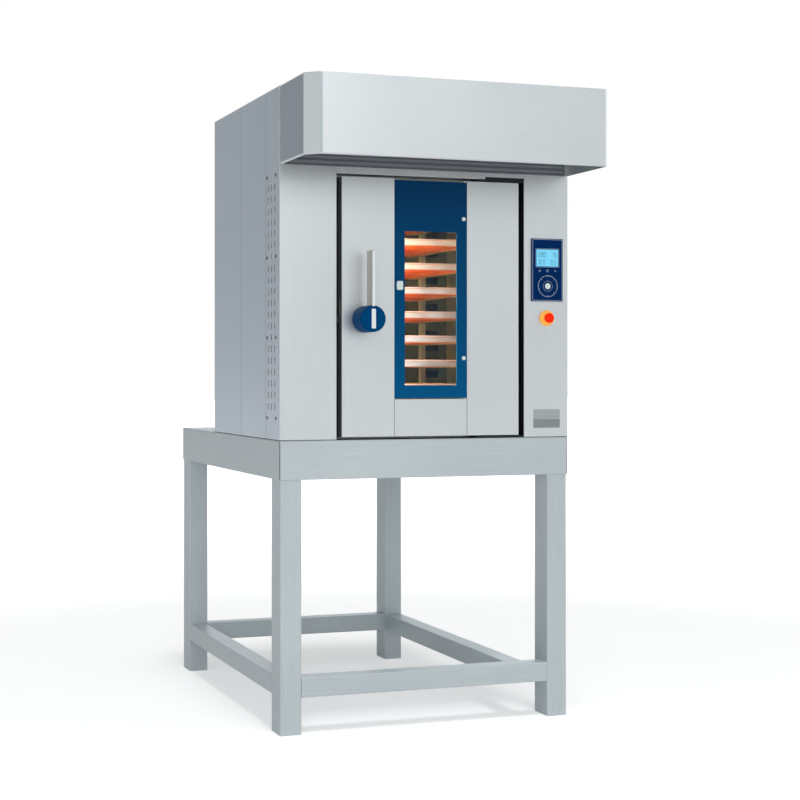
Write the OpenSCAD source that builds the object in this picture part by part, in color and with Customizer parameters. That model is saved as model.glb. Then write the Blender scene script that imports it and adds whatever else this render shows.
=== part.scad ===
// Rack oven for bakeries on a four-legged stand: an insulated chamber with a turning rack of trays,
// a fan and heating rings behind a slotted panel, a windowed door and a steam hood above it.
// Millimetres. X runs to the right, Y to the back, Z up; the origin is under the middle, on the floor.
// "Depth" below is measured backwards from the cabinet's front face.

/* [Cabinet] */
// Width of the cabinet, the stand and the hood
body_w = 1000; // [970:5:1060]
// Depth of the cabinet, from its front face to its rear panel
body_d = 845; // [825:5:900]
// Height of the front above the door, up to the roof
header_h = 268; // [252:2:360]
// Sheet of the cabinet panels
sheet = 2; // [1.5:0.5:3]
// Width of the column left of the door
left_column_w = 188; // [180:1:200]
// Width of the control column right of the door
control_column_w = 159; // [150:1:165]
// Depth of the first seam on the cabinet side, behind the vents
seam_1 = 159; // [154:1:180]
// Depth of the second seam on the cabinet side
seam_2 = 472; // [300:1:700]
// Width of the seams
seam_w = 2.5; // [1:0.5:4]

/* [Vents] */
// Height of a vent slot
vent_h = 20; // [12:1:26]
// Width of a vent slot
vent_w = 7; // [5:0.5:12]
// Height from one row of slots to the next
vent_pitch = 36.8; // [32:0.2:40]
// Distance from the door's top edge down to the first row
vent_drop = 36; // [10:1:50]
// Depth of the middle column of slots
vent_depth = 94; // [85:1:100]
// Distance from one column of slots to the next
vent_column = 37; // [28:1:40]
// Rows of slots between two pairs of screws
vent_group = 6; // [3:1:6]
// Radius of a panel screw's head
screw_head_r = 6; // [4:0.5:7]

/* [Stand] */
// Height of the stand
stand_h = 931; // [600:1:1000]
// Depth of the stand
stand_d = 1357; // [1330:1:1500]
// Height of the apron under the top
apron_h = 125; // [60:1:200]
// Sheet of the stand's top and apron
stand_sheet = 3; // [2:0.5:4]
// Width of a leg
leg_w = 70; // [64:1:80]
// Depth of a leg
leg_d = 102; // [60:1:120]
// Section of a stretcher
stretcher = 64; // [30:1:66]
// Height of the stretchers' lower side
stretcher_z = 117; // [40:1:300]
// Wall of the legs and stretchers
tube_wall = 3; // [2:0.5:5]
// How far the right rear leg stands in from its corner
rear_leg_inset = 130; // [80:5:200]

/* [Hood] */
// How far the hood stands forward of the cabinet
hood_reach = 300; // [200:5:400]
// Height of the hood
hood_h = 248; // [180:2:252]
// Size of the chamfer at the hood's left front corner
hood_chamfer = 41; // [10:1:80]
// Size of the small chamfer at its right front corner
hood_corner = 10; // [9:1:40]
// Width of the flange round the hood's lower edge
hood_lip = 15; // [8:1:30]
// Gap between the hood's sides and the cabinet's sides
hood_seam = 8; // [3:1:12]
// How far the hood's mounting flange stands in from its sides
hood_inset = 12; // [8:1:20]

/* [Door] */
// How far the door reaches above the chamber's ceiling
door_over = 27; // [20:1:40]
// Thickness of the door without its seal
door_t = 50; // [45:1:56]
// Sheet of the door's outer skins
skin = 1.5; // [1:0.25:2]
// Thickness of the door seal
seal_t = 10; // [7:1:14]
// Width of the door seal
seal_w = 10; // [6:1:12]
// How far the seal stands in from the door's edge
seal_inset = 12; // [11:0.5:14]
// Gap left of the door
door_gap_left = 18; // [14:1:22]
// Gap right of the door
door_gap_right = 20; // [16:1:24]
// Gap under and over the door
door_gap = 9; // [8.5:0.5:12]
// Distance from the door's right edge to its hinge axis
hinge_inset = 10; // [8:0.5:10.5]
// Depth of the door's hinge axis
hinge_depth = 12; // [11:0.5:16]
// Radius of a door hinge pin
hinge_pin_r = 6; // [5:0.25:7]

/* [Window] */
// Width of the steel panel left of the window
left_skin_w = 178; // [150:1:200]
// Width of the steel panel right of the window
right_skin_w = 184; // [150:1:200]
// Height of the steel panel below the window
lower_panel_h = 120; // [80:1:180]
// Thickness of the outer pane
pane_t = 6; // [4:0.5:6]
// Blue border at each side of the clear window
border_side = 35; // [28:1:45]
// Blue border under the clear window
border_bottom = 41; // [30:1:60]
// Blue border over the clear window
border_top = 164.5; // [60:0.5:260]
// How far the reveal stands out beyond the clear window
reveal_margin = 19; // [12:1:20]
// Thickness of the inner glass
inner_glass_t = 5; // [4:0.5:6]
// Distance from the pane's right edge to its pivot axis
pane_pivot_inset = 6; // [5:0.5:7]
// Width of the square catch
catch_w = 21; // [14:1:24]
// Height of the square catch
catch_h = 29; // [20:1:40]

/* [Handle] */
// Distance from the door's left edge to the handle's axis
handle_inset = 75; // [70:1:90]
// Height of the handle's axis above the door's lower edge
handle_rise = 376; // [250:1:500]
// Diameter of the handle's hub
hub_d = 85; // [70:1:95]
// How far the hub stands out from the door
hub_reach = 95; // [75:1:110]
// Thickness of the lever blade
blade_t = 11; // [6:0.5:14]
// Depth of the lever blade
blade_d = 46; // [30:1:55]
// Height of the lever blade above the handle's axis
blade_rise = 217; // [150:1:260]
// Radius of the handle's spindle
spindle_r = 6; // [5:0.5:8]

/* [Chamber] */
// Free height above the rack
head_room = 27.2; // [20:0.1:40]
// Thickness of the insulation
insulation_t = 50; // [40:1:56]
// Free space round the turning rack
rack_clear = 10; // [5:1:14]
// Depth of the fan room behind the slotted panel
fan_room = 240; // [220:5:260]
// Width of the lip round the chamber's mouth
mouth_lip = 30; // [25:1:34]

/* [Rack] */
// Width of a tray, across the rack
tray_w = 400; // [380:5:405]
// Length of a tray
tray_l = 600; // [580:5:605]
// Height of a tray's rim
tray_h = 23; // [15:1:30]
// Sheet of a tray
tray_sheet = 1.5; // [1:0.25:2]
// Number of trays
tray_count = 9; // [4:1:9]
// Height from one tray to the next
tray_pitch = 80.6; // [70:0.2:81]
// Height of the lowest tray's underside above the chamber floor
first_tray = 21; // [20:0.5:26]
// Section of the rack's uprights
upright = 20; // [15:1:25]
// Radius of the rack's drive shaft
rack_shaft_r = 12.5; // [10:0.5:15]

/* [Fan] */
// Radius of the fan wheel
fan_r = 190; // [150:1:200]
// Width of the fan wheel
fan_w = 90; // [60:1:110]
// Number of fan blades
fan_blades = 18; // [10:1:24]
// Radius of the fan's shaft
fan_shaft_r = 12; // [9:0.5:14]
// Radius of the smallest heating ring
ring_r = 215; // [212:1:225]
// Number of heating rings
ring_count = 3; // [1:1:4]
// Radius of a heating ring's tube
ring_tube_r = 6.5; // [4:0.5:7]

/* [Controls] */
// Width of the control plate
plate_w = 113; // [100:1:130]
// Height of the control plate
plate_h = 208; // [200:1:240]
// Thickness of the control plate
plate_t = 6; // [5.5:0.5:10]
// Height of the control plate's lower edge above the stand
plate_rise = 452; // [440:1:640]
// Radius of the dial
dial_r = 38; // [25:1:40]
// Radius of the button in the dial's middle
dial_button_r = 10; // [7:0.5:14]
// Radius of a key
key_r = 6; // [4:0.5:7]
// Radius of the stop button's cap
stop_r = 16; // [14:0.5:22]
// Radius of the stop button's yellow base
stop_base_r = 26; // [22:0.5:34]
// Travel of the stop button
stop_travel = 4; // [3:0.5:6]
// Travel of the keys and of the dial's middle button
key_travel = 0.8; // [0.4:0.1:1.2]

/* [Services] */
// Outer radius of the exhaust pipe
exhaust_r = 60; // [40:1:75]
// Height of the exhaust pipe above the roof
exhaust_h = 55; // [40:1:60]
// Radius of the water pipe
water_r = 9; // [6:0.5:12]
// Radius of the hole in the cable gland
gland_r = 9; // [6:0.5:12]

/* [Hidden] */
$fn = 48;
eps = 0.5;         // overshoot of a cut past the faces it opens
touch = 0.3;       // gap between two pieces of one body that rest beside each other
run = 0.05;        // radial clearance of a running fit
mend = 1;          // how far a cut-out stands clear of what goes through it

// Cabinet
x0 = -body_w/2;
x1 = body_w/2;
y0 = (hood_reach - stand_d)/2;       // the cabinet's front face
z0 = stand_h;
open_x0 = x0 + left_column_w;
open_x1 = x1 - control_column_w;

// Door
door_x0 = open_x0 + door_gap_left;
door_x1 = open_x1 - door_gap_right;
door_w = door_x1 - door_x0;
door_z0 = z0 + door_gap;
cell_z0 = z0 + insulation_t + sheet;                  // the chamber's floor
base_z = cell_z0 + 4;                // underside of the rack
top_bar_z = cell_z0 + first_tray + tray_pitch*(tray_count - 1) + tray_h + 26;
chamber_h = top_bar_z + upright + head_room - cell_z0;
cell_z1 = cell_z0 + chamber_h;
door_z1 = cell_z1 + door_over;
header_z = door_z1 + door_gap;
z1 = header_z + header_h;
seal_d = door_t + seal_t;            // depth of the face that the seal closes on
core_d = 12;                         // depth of the door's filling, behind the pane and the latch arm
hinge_x = door_x1 - hinge_inset;
hinge_y = y0 + hinge_depth;
hinge_block = 26;                    // width of a hinge block in the door
hinge_block_h = 24;
bracket_t = 6;
bracket_reach = 140;                 // from the hinge axis to a bracket's inner end

// Pane
pane_gap = 1;                        // gap between the pane and the steel panels
pane_x0 = door_x0 + left_skin_w + pane_gap;
pane_x1 = door_x1 - right_skin_w - pane_gap;
lower_z1 = door_z0 + lower_panel_h;
pane_tab = 2;                        // thickness of the tabs that carry the pane's pivots
pane_slack = 1;                      // gap between those tabs and the door's returns
pane_z0 = lower_z1 + pane_slack + pane_tab;
pane_z1 = door_z1 - skin - pane_slack - pane_tab;
window_x0 = pane_x0 + border_side;
window_x1 = pane_x1 - border_side;
window_z0 = pane_z0 + border_bottom;
window_z1 = pane_z1 - border_top;
reveal_x0 = window_x0 - reveal_margin;
reveal_x1 = window_x1 + reveal_margin;
reveal_z0 = window_z0 - reveal_margin;
reveal_z1 = window_z1 + reveal_margin;
pivot_x = pane_x1 - pane_pivot_inset;
pivot_y = y0 + pane_t/2;
pivot_r = 2;
button_x = pane_x1 - 11;
button_r = 6.5;
button_z = [pane_z0 + 130, pane_z1 - 120];
catch_x = pane_x0 + 17;              // middle of the catch
catch_z = pane_z0 + 364;

// Handle
handle_x = door_x0 + handle_inset;
handle_z = door_z0 + handle_rise;
rose_t = 8;
bridge_t = 7;                        // what closes the hub's slot above the pointer
pointer_h = 64;                      // length of the blade's edge that shows in the hub's face
arm_t = 3;
arm_h = 24;
arm_d = 20;                          // depth of the latch arm's front face
arm_reach = handle_inset + 12;       // from the spindle to the arm's end
pocket_r = arm_reach + 6;            // room for the arm's swing inside the door
keeper_gap = 1;

// Chamber
sweep = sqrt(pow(tray_w/2, 2) + pow(tray_l/2, 2));   // the tray corners' turning circle
half = sweep + rack_clear;                            // half the chamber's width
rack_x = (door_x0 + door_x1)/2;
lining_d = seal_d + sheet;                            // depth where the chamber begins
rack_d = lining_d + half;
baffle_d = rack_d + half;
back_d = baffle_d + sheet + fan_room;                 // depth of the lining's back wall
cell_x0 = rack_x - half;
cell_x1 = rack_x + half;
box_x0 = cell_x0 - sheet - insulation_t;              // outside of the insulation
box_x1 = cell_x1 + sheet + insulation_t;
box_z1 = cell_z1 + sheet + insulation_t;
box_d = back_d + sheet + insulation_t;                // depth of the insulation's back
mouth_x0 = door_x0 + mouth_lip;
mouth_x1 = door_x1 - mouth_lip;
mouth_z0 = cell_z0 + 7;
mouth_z1 = cell_z1 - 10;
fan_z = (cell_z0 + cell_z1)/2;

// Rack
runner_t = 2;
runner_w = 24;                       // how far a runner reaches under its tray
runner_gap = 2;
runner_x = tray_w/2 + runner_gap + runner_t;          // outside of the runners, from the axis
upright_y = tray_l/2 - 80;           // middle of an upright, from the axis
frame_half_y = upright_y + upright/2;
base_bar_h = 12;
bush_flange = 2;
bearing_h = 25;
plate_s = 6;                         // thickness of the drive's mounting plate
gearbox = [150, 120, 80];
drive_plate = [300, 160];            // width and depth of the drive's mounting plate
drive_motor_l = 131;
drive_z = box_z1 + plate_s;          // top of the drive's mounting plate

// Fan
fan_d = baffle_d + sheet + 24;       // depth of the fan wheel's front ring
ring_d = fan_d + 40;
ring_step = 25;
motor_r = 75;
motor_l = 130;
motor_flange = 8;
motor_flange_w = 176;
cover_w = 206;

// Controls
plate_x = (open_x1 + x1)/2 + 3;      // middle of the control column's plates
plate_z0 = z0 + plate_rise;
display_w = 79;
display_h = 56;
display_z = plate_z0 + 144;          // middle of the display
key_z = plate_z0 + 101;
key_step = 28.5;
dial_z = plate_z0 + 50;
control_depth = 4;                   // depth of the pockets in the control plate
dial_rise = 3.5;                     // how far the dial stands out from the control plate
stop_z = plate_z0 - 56;
stop_stem_r = 6;
blank_w = 96;
blank_h = 61;
blank_rise = 31;

// Services
exhaust_x = x0 + 0.3*body_w;
exhaust_d = 640;
exhaust_wall = 1.5;
water_offset = 290;                  // of the water pipe from the fan's axis, to the right and up
water_x = rack_x + water_offset;
water_z = fan_z + water_offset;
gland_x = box_x1 - 46;
gland_z = z1 - 120;

// ---- helpers -------------------------------------------------------------------------------------

// A box from its low corner to its high corner
module block(a, b) {
    translate(a) cube(b - a);
}

// A box between two X, two depths and two Z
module slab(xa, xb, da, db, za, zb) {
    block([xa, y0 + da, za], [xb, y0 + db, zb]);
}

// A cylinder along Y, from depth da to depth db
module rod_y(x, z, r, da, db) {
    translate([x, y0 + da, z]) rotate([-90, 0, 0]) cylinder(r = r, h = db - da);
}

// A cylinder along Z, from height za to height zb
module rod_z(x, d, r, za, zb) {
    translate([x, y0 + d, za]) cylinder(r = r, h = zb - za);
}

// The children, and their mirror image in the plane across X
module both_sides() {
    children();
    mirror([1, 0, 0]) children();
}

// ---- stand ---------------------------------------------------------------------------------------

leg_x0 = x0 + stand_sheet;
leg_x1 = x1 - stand_sheet;
leg_d0 = stand_sheet;
leg_d1 = stand_d - stand_sheet;
rear_leg_x1 = leg_x1 - rear_leg_inset;   // right side of the right rear leg
top_under = stand_h - stand_sheet;

module leg(xa, da) {
    difference() {
        slab(xa, xa + leg_w, da, da + leg_d, 0, top_under);
        slab(xa + tube_wall, xa + leg_w - tube_wall, da + tube_wall, da + leg_d - tube_wall,
            tube_wall, stand_h);
    }
}

module stand_legs() {
    color("lightsteelblue") {
        for (xa = [leg_x0, leg_x1 - leg_w]) leg(xa, leg_d0);
        for (xa = [leg_x0, rear_leg_x1 - leg_w]) leg(xa, leg_d1 - leg_d);
    }
}

// A stretcher along X from the left leg to the right one, whose right side is at x_end; open at both ends
module cross_stretcher(da, x_end) {
    xa = leg_x0 + leg_w;
    xb = x_end - leg_w;
    difference() {
        slab(xa, xb, da, da + stretcher, stretcher_z, stretcher_z + stretcher);
        slab(xa - eps, xb + eps, da + tube_wall, da + stretcher - tube_wall,
            stretcher_z + tube_wall, stretcher_z + stretcher - tube_wall);
    }
}

// A stretcher along Y that ends at a rear leg, open at both ends
module long_stretcher(xa, da) {
    db = leg_d1 - leg_d;
    difference() {
        slab(xa, xa + stretcher, da, db, stretcher_z, stretcher_z + stretcher);
        slab(xa + tube_wall, xa + stretcher - tube_wall, da - eps, db + eps,
            stretcher_z + tube_wall, stretcher_z + stretcher - tube_wall);
    }
}

module stand_stretchers() {
    color("lightsteelblue") {
        cross_stretcher(leg_d0, leg_x1);
        cross_stretcher(leg_d1 - leg_d, rear_leg_x1);
        long_stretcher(leg_x0, leg_d0 + leg_d);
        // the right one butts against the front stretcher's back
        long_stretcher(rear_leg_x1 - leg_w, leg_d0 + stretcher + touch);
    }
}

module stand_apron() {
    za = stand_h - apron_h;
    color("lightsteelblue") {
        both_sides() slab(x0, x0 + stand_sheet - touch, 0, stand_d, za, top_under);
        slab(leg_x0, leg_x1, 0, stand_sheet - touch, za, top_under);
        slab(leg_x0, leg_x1, stand_d - stand_sheet + touch, stand_d, za, top_under);
    }
}

module stand_top() {
    color("lightsteelblue") slab(x0, x1, 0, stand_d, top_under, stand_h);
}

// ---- cabinet -------------------------------------------------------------------------------------

side_z1 = z1 - sheet;
vent_z = door_z1 - vent_drop;            // middle of the first row of slots
vent_rows = 3*vent_group + 2;            // rows, counting those that hold screws
screw_rows = [for (k = [-1:vent_group + 1:vent_rows]) k];
screw_d = [vent_depth - 50, vent_depth + 52];

// One slot at row k of the column at depth d
module vent_slot(d, k) {
    z = vent_z - k*vent_pitch;
    slab(x0 - eps, x0 + sheet + eps, d - vent_w/2, d + vent_w/2, z - vent_h/2, z + vent_h/2);
}

// The side panel between two depths, on the left
module side_panel(da, db) {
    slab(x0, x0 + sheet, da, db, z0, side_z1);
}

module vented_panel() {
    difference() {
        side_panel(sheet, seam_1 - seam_w/2);
        for (k = [0:vent_rows - 1]) {
            screwed = len([for (r = screw_rows) if (r == k) r]) > 0;
            vent_slot(vent_depth, k);
            if (!screwed)
                for (side = [-1, 1])
                    vent_slot(vent_depth + side*vent_column, k);
        }
        for (k = screw_rows)
            for (d = screw_d)
                translate([x0 - eps, y0 + d, vent_z - k*vent_pitch]) rotate([0, 90, 0])
                    cylinder(r = 2.4, h = sheet + 2*eps);
    }
}

module plain_panels() {
    side_panel(seam_1 + seam_w/2, seam_2 - seam_w/2);
    side_panel(seam_2 + seam_w/2, body_d - sheet);
}

module left_vent_panel() {
    color("lightslategray") vented_panel();
}

module left_side_panels() {
    color("lightslategray") plain_panels();
}

module right_side_panels() {
    color("lightslategray") mirror([1, 0, 0]) {
        vented_panel();
        plain_panels();
    }
}

module screw(d, z) {
    translate([x0, y0 + d, z]) rotate([0, 90, 0]) {
        translate([0, 0, -1.2]) cylinder(r = screw_head_r, h = 1.2);
        translate([0, 0, -0.1]) cylinder(r = 2, h = 10);
    }
}

module panel_screws() {
    color("dimgray")
        both_sides()
            for (k = screw_rows)
                for (d = screw_d)
                    screw(d, vent_z - k*vent_pitch);
}

// Left, right and top sheets round the insulated box, which runs on through the rear
module rear_panel() {
    da = body_d - sheet;
    color("silver") {
        slab(x0, box_x0 - touch, da, body_d, z0, side_z1);
        slab(box_x1 + touch, x1, da, body_d, z0, side_z1);
        difference() {
            slab(box_x0, box_x1, da, body_d, box_z1 + touch, side_z1);
            rod_y(gland_x, gland_z, gland_r + 4, da - eps, body_d + eps);
        }
    }
}

module roof_panel() {
    color("silver")
        difference() {
            slab(x0, x1, 0, body_d, side_z1, z1);
            rod_z(exhaust_x, exhaust_d, exhaust_r - 1 + touch, side_z1 - eps, z1 + eps);
        }
}

// A folded column: its front and the jamb beside the door
module column(xa, xb, jamb_xa) {
    slab(xa, xb, 0, sheet, z0, side_z1);
    slab(jamb_xa, jamb_xa + sheet, 0, seal_d, z0, side_z1);
}

module left_column() {
    color("gainsboro") column(x0, open_x0, open_x0 - sheet);
}

module control_column() {
    window = plate_w - 20;
    color("gainsboro")
        difference() {
            column(open_x1, x1, open_x1);
            slab(plate_x - window/2, plate_x + window/2, -eps, sheet + eps,
                plate_z0 + 10, plate_z0 + plate_h - 10);
            rod_y(plate_x, stop_z, stop_stem_r + 3, -eps, sheet + eps);
        }
}

module door_header() {
    color("gainsboro") {
        slab(open_x0 + touch, open_x1 - touch, 0, sheet, header_z, side_z1);
        slab(open_x0 + touch, open_x1 - touch, 0, seal_d, header_z, header_z + sheet);
    }
}

// ---- hood ----------------------------------------------------------------------------------------

hood_z0 = z1 - hood_h;

// The hood's outline seen from above, drawn in by s, from the depth back
module hood_outline(s, back) {
    xa = x0 + s;
    ya = y0 - hood_reach + s;
    k = hood_chamfer - s*(2 - sqrt(2));
    e = max(hood_corner - s*(2 - sqrt(2)), 0.1);
    polygon([
        [xa, y0 + back], [xa, ya + k], [xa + k, ya],
        [-xa - e, ya], [-xa, ya + e], [-xa, y0 + back]
    ]);
}

module hood_shell() {
    color("gainsboro") {
        // Top
        translate([0, 0, z1 - sheet]) linear_extrude(sheet) hood_outline(0, -hood_seam);
        // Sides, corners and front
        translate([0, 0, hood_z0]) linear_extrude(hood_h - sheet/2)
            difference() {
                hood_outline(0, -hood_seam);
                hood_outline(sheet, eps);
            }
        // Flange round the lower edge
        translate([0, 0, hood_z0]) linear_extrude(sheet)
            difference() {
                hood_outline(0, -hood_seam);
                hood_outline(hood_lip, eps);
            }
        // Mounting flange that closes the seam against the cabinet
        for (side = [0, 1]) mirror([side, 0, 0])
            slab(x0 + sheet/2, x0 + hood_inset + sheet, -hood_seam - sheet, -hood_seam,
                hood_z0, z1 - sheet/2);
        for (side = [0, 1]) mirror([side, 0, 0])
            slab(x0 + hood_inset, x0 + hood_inset + sheet, -hood_seam - sheet/2, 0,
                hood_z0, z1 - sheet/2);
        slab(x0 + hood_inset, x1 - hood_inset, -hood_seam - sheet/2, 0, z1 - sheet, z1);
    }
}

// ---- chamber -------------------------------------------------------------------------------------

module chamber_front_frame() {
    color("silver")
        difference() {
            slab(open_x0 - sheet, open_x1 + sheet, seal_d, lining_d, z0, header_z + sheet);
            slab(mouth_x0, mouth_x1, seal_d - eps, lining_d + eps, mouth_z0, mouth_z1);
        }
}

lamp_d = lining_d + 45;
lamp_z = fan_z + 130;
lamp_r = 32;

module lamp_hole(r) {
    translate([box_x0 - eps, y0 + lamp_d, lamp_z]) rotate([0, 90, 0])
        cylinder(r = r, h = insulation_t + sheet + 2*eps);
}

module drive_hole(r) {
    rod_z(rack_x, rack_d, r, cell_z1 - eps, box_z1 + eps);
}

module exhaust_hole(r) {
    rod_z(exhaust_x, exhaust_d, r, cell_z1 - eps, box_z1 + eps);
}

// Floor, ceiling, two side walls and the back wall
module chamber_lining() {
    xa = cell_x0 - sheet;
    xb = cell_x1 + sheet;
    back = back_d + sheet;
    color("darkgray") {
        difference() {
            slab(xa, xb, lining_d, back, cell_z0 - sheet, cell_z0);
            rod_z(rack_x, rack_d, bush_r + touch, cell_z0 - sheet - eps, cell_z0 + eps);
        }
        difference() {
            slab(xa, xb, lining_d, back, cell_z1, cell_z1 + sheet);
            drive_hole(rack_shaft_r + mend);
            exhaust_hole(exhaust_r - 1 - exhaust_wall);
        }
        difference() {
            slab(xa, cell_x0, lining_d, back, cell_z0 + touch, cell_z1 - touch);
            lamp_hole(lamp_r + touch);
        }
        slab(cell_x1, xb, lining_d, back, cell_z0 + touch, cell_z1 - touch);
        difference() {
            slab(cell_x0 + touch, cell_x1 - touch, back_d, back, cell_z0 + touch, cell_z1 - touch);
            rod_y(rack_x, fan_z, fan_shaft_r + mend, back_d - eps, back + eps);
            rod_y(water_x, water_z, water_r + touch, back_d - eps, back + eps);
        }
    }
}

module insulation() {
    xa = cell_x0 - sheet;
    xb = cell_x1 + sheet;
    zb = cell_z1 + sheet;
    back = back_d + sheet;
    color("khaki") {
        // Under the chamber
        difference() {
            slab(box_x0, box_x1, lining_d, box_d, z0, cell_z0 - sheet);
            rod_z(rack_x, rack_d, bush_r + touch, z0 + 20, cell_z0);
        }
        // Over it
        difference() {
            slab(box_x0, box_x1, lining_d, box_d, zb, box_z1);
            drive_hole(rack_shaft_r + mend);
            exhaust_hole(exhaust_r - 1 + touch);
            drive_posts(post_r + touch, eps);
        }
        // Left and right
        difference() {
            slab(box_x0, xa, lining_d, box_d, cell_z0 - sheet + touch, zb - touch);
            lamp_hole(lamp_r + touch);
        }
        slab(xb, box_x1, lining_d, box_d, cell_z0 - sheet + touch, zb - touch);
        // Behind
        difference() {
            slab(xa + touch, xb - touch, back, box_d, cell_z0 - sheet + touch, zb - touch);
            rod_y(rack_x, fan_z, fan_shaft_r + mend, back - eps, box_d + eps);
            rod_y(water_x, water_z, water_r + touch, back - eps, box_d + eps);
        }
    }
}

intake_r = fan_r - 40;
intake_bars = 8;                     // slots on each side of the intake's middle
slot_rows = 14;
slot_h = 26;

// The panel that parts the fan room from the chamber: a barred intake and outlet slots at the sides
module air_baffle() {
    pitch = (chamber_h - 60)/slot_rows;
    step = intake_r/(intake_bars + 0.5);
    color("darkgray")
        difference() {
            slab(cell_x0 + touch, cell_x1 - touch, baffle_d, baffle_d + sheet,
                cell_z0 + touch, cell_z1 - touch);
            for (k = [-intake_bars:intake_bars]) {
                w = sqrt(pow(intake_r, 2) - pow(k*step, 2));
                for (side = [0, 1]) translate([side*2*rack_x, 0, 0]) mirror([side, 0, 0])
                    slab(rack_x + 3, rack_x + max(w, 12), baffle_d - eps, baffle_d + sheet + eps,
                        fan_z + k*step - 0.35*step, fan_z + k*step + 0.35*step);
            }
            for (i = [0:slot_rows - 1])
                for (side = [-1, 1])
                    translate([rack_x + side*(half - 70) - 35, y0 + baffle_d - eps,
                        cell_z0 + 30 + (i + 0.5)*pitch - slot_h/2])
                        cube([70, sheet + 2*eps, slot_h]);
        }
}

module chamber_lamp() {
    color("orange")
        translate([box_x0 + 4, y0 + lamp_d, lamp_z]) rotate([0, 90, 0]) {
            cylinder(r = lamp_r, h = insulation_t + sheet + 2);
            translate([0, 0, insulation_t + sheet - 4]) cylinder(r = lamp_r + 8, h = 8);
        }
}

// Left, right, top and back sheets of the casing behind the cabinet
module heat_box_casing() {
    back = box_d + sheet;
    color("silver") {
        slab(box_x0 - sheet, box_x0, body_d, back, z0, box_z1 - touch);
        slab(box_x1, box_x1 + sheet, body_d, back, z0, box_z1 - touch);
        slab(box_x0 - sheet, box_x1 + sheet, body_d, back, box_z1, box_z1 + sheet);
        difference() {
            slab(box_x0 + touch, box_x1 - touch, box_d, back, z0, box_z1 - touch);
            rod_y(rack_x, fan_z, fan_shaft_r + mend, box_d - eps, back + eps);
            rod_y(water_x, water_z, water_r + touch, box_d - eps, back + eps);
        }
    }
}

module steam_pipe() {
    out = box_d + sheet;
    color("silver") {
        difference() {
            union() {
                rod_y(water_x, water_z, water_r, fan_d + 60, out + 40);
                rod_y(water_x, water_z, water_r + 8, out, out + 10);
            }
            rod_y(water_x, water_z, water_r - 1.5, fan_d + 60 - eps, out + 40 + eps);
        }
    }
}

// ---- fan and heating -----------------------------------------------------------------------------

// A ring of tube round the fan, with two straight legs to the back wall
module heating_ring(r, turn) {
    translate([rack_x, y0 + ring_d, fan_z]) rotate([-90, 0, 0]) {
        rotate_extrude() translate([r, 0]) circle(r = ring_tube_r);
        for (a = [turn, turn + 8])
            rotate([0, 0, a]) translate([r, 0, 0]) cylinder(r = ring_tube_r, h = back_d - ring_d);
    }
}

module heating_rings() {
    color("dimgray")
        for (k = [0:ring_count - 1])
            heating_ring(ring_r + k*ring_step, 40 + 20*k);
}

module fan_blade(a) {
    rotate([0, 0, a]) translate([0.6*fan_r, 0, 0]) rotate([0, 0, 30])
        translate([0, -1.25, 0]) cube([0.36*fan_r, 2.5, fan_w - 2]);
}

module fan_wheel() {
    shaft_l = box_d + sheet + motor_flange + 60 - fan_d - fan_w;
    color("silver")
        translate([rack_x, y0 + fan_d, fan_z]) rotate([-90, 0, 0]) {
            // Front ring, back disc and hub
            difference() {
                cylinder(r = fan_r, h = 2);
                translate([0, 0, -eps]) cylinder(r = 0.54*fan_r, h = 2 + 2*eps);
            }
            translate([0, 0, fan_w - 3]) cylinder(r = fan_r, h = 3);
            translate([0, 0, fan_w - 40]) cylinder(r = 32, h = 40);
            for (k = [0:fan_blades - 1])
                translate([0, 0, 1]) fan_blade(360*k/fan_blades);
            translate([0, 0, fan_w - eps]) cylinder(r = fan_shaft_r, h = shaft_l + eps);
        }
}

module fan_motor() {
    start = box_d + sheet;
    w = motor_flange_w/2;
    color("steelblue")
        difference() {
            union() {
                slab(rack_x - w, rack_x + w, start, start + motor_flange, fan_z - w, fan_z + w);
                rod_y(rack_x, fan_z, motor_r, start + motor_flange, start + motor_flange + motor_l);
            }
            rod_y(rack_x, fan_z, fan_shaft_r + run, start - eps, start + motor_flange + 62);
        }
}

module motor_cover() {
    start = box_d + sheet;
    w = cover_w/2;
    l = motor_flange + motor_l + 12;
    pitch = 18;
    color("silver")
        difference() {
            slab(rack_x - w, rack_x + w, start, start + l, fan_z - w, fan_z + w);
            slab(rack_x - w + sheet, rack_x + w - sheet, start - eps, start + l - sheet,
                fan_z - w + sheet, fan_z + w - sheet);
            for (k = [-4:4])
                slab(rack_x - 70, rack_x + 70, start + l - sheet - eps, start + l + eps,
                    fan_z + k*pitch - 3, fan_z + k*pitch + 3);
        }
}

// ---- rack ----------------------------------------------------------------------------------------

tray_z = [for (k = [0:tray_count - 1]) cell_z0 + first_tray + k*tray_pitch];   // trays' undersides
bush_r = 20;
pin_below = 14;                      // length of the rack's pin below its base bar

// A bar of the rack, from its X and Y beside the axis
module bar(xa, xb, ya, yb, za, zb) {
    block([rack_x + xa, y0 + rack_d + ya, za], [rack_x + xb, y0 + rack_d + yb, zb]);
}

module rack_frame() {
    a = runner_x;
    b = runner_x + upright;
    h = frame_half_y;
    color("silver") {
        for (side = [0, 1]) translate([side*2*rack_x, 0, 0]) mirror([side, 0, 0]) {
            // Uprights
            for (y = [-upright_y, upright_y])
                bar(a, b, y - upright/2, y + upright/2, base_z, top_bar_z + upright);
            // Side bars
            bar(a, b, -h, h, base_z, base_z + base_bar_h);
            bar(a, b, -h, h, top_bar_z, top_bar_z + upright);
        }
        // Cross bars, and the pin under the lower one
        bar(-a - eps, a + eps, -15, 15, base_z, base_z + base_bar_h);
        bar(-a - eps, a + eps, -15, 15, top_bar_z, top_bar_z + upright);
        rod_z(rack_x, rack_d, 8, base_z - pin_below, base_z + 1);
    }
}

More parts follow.
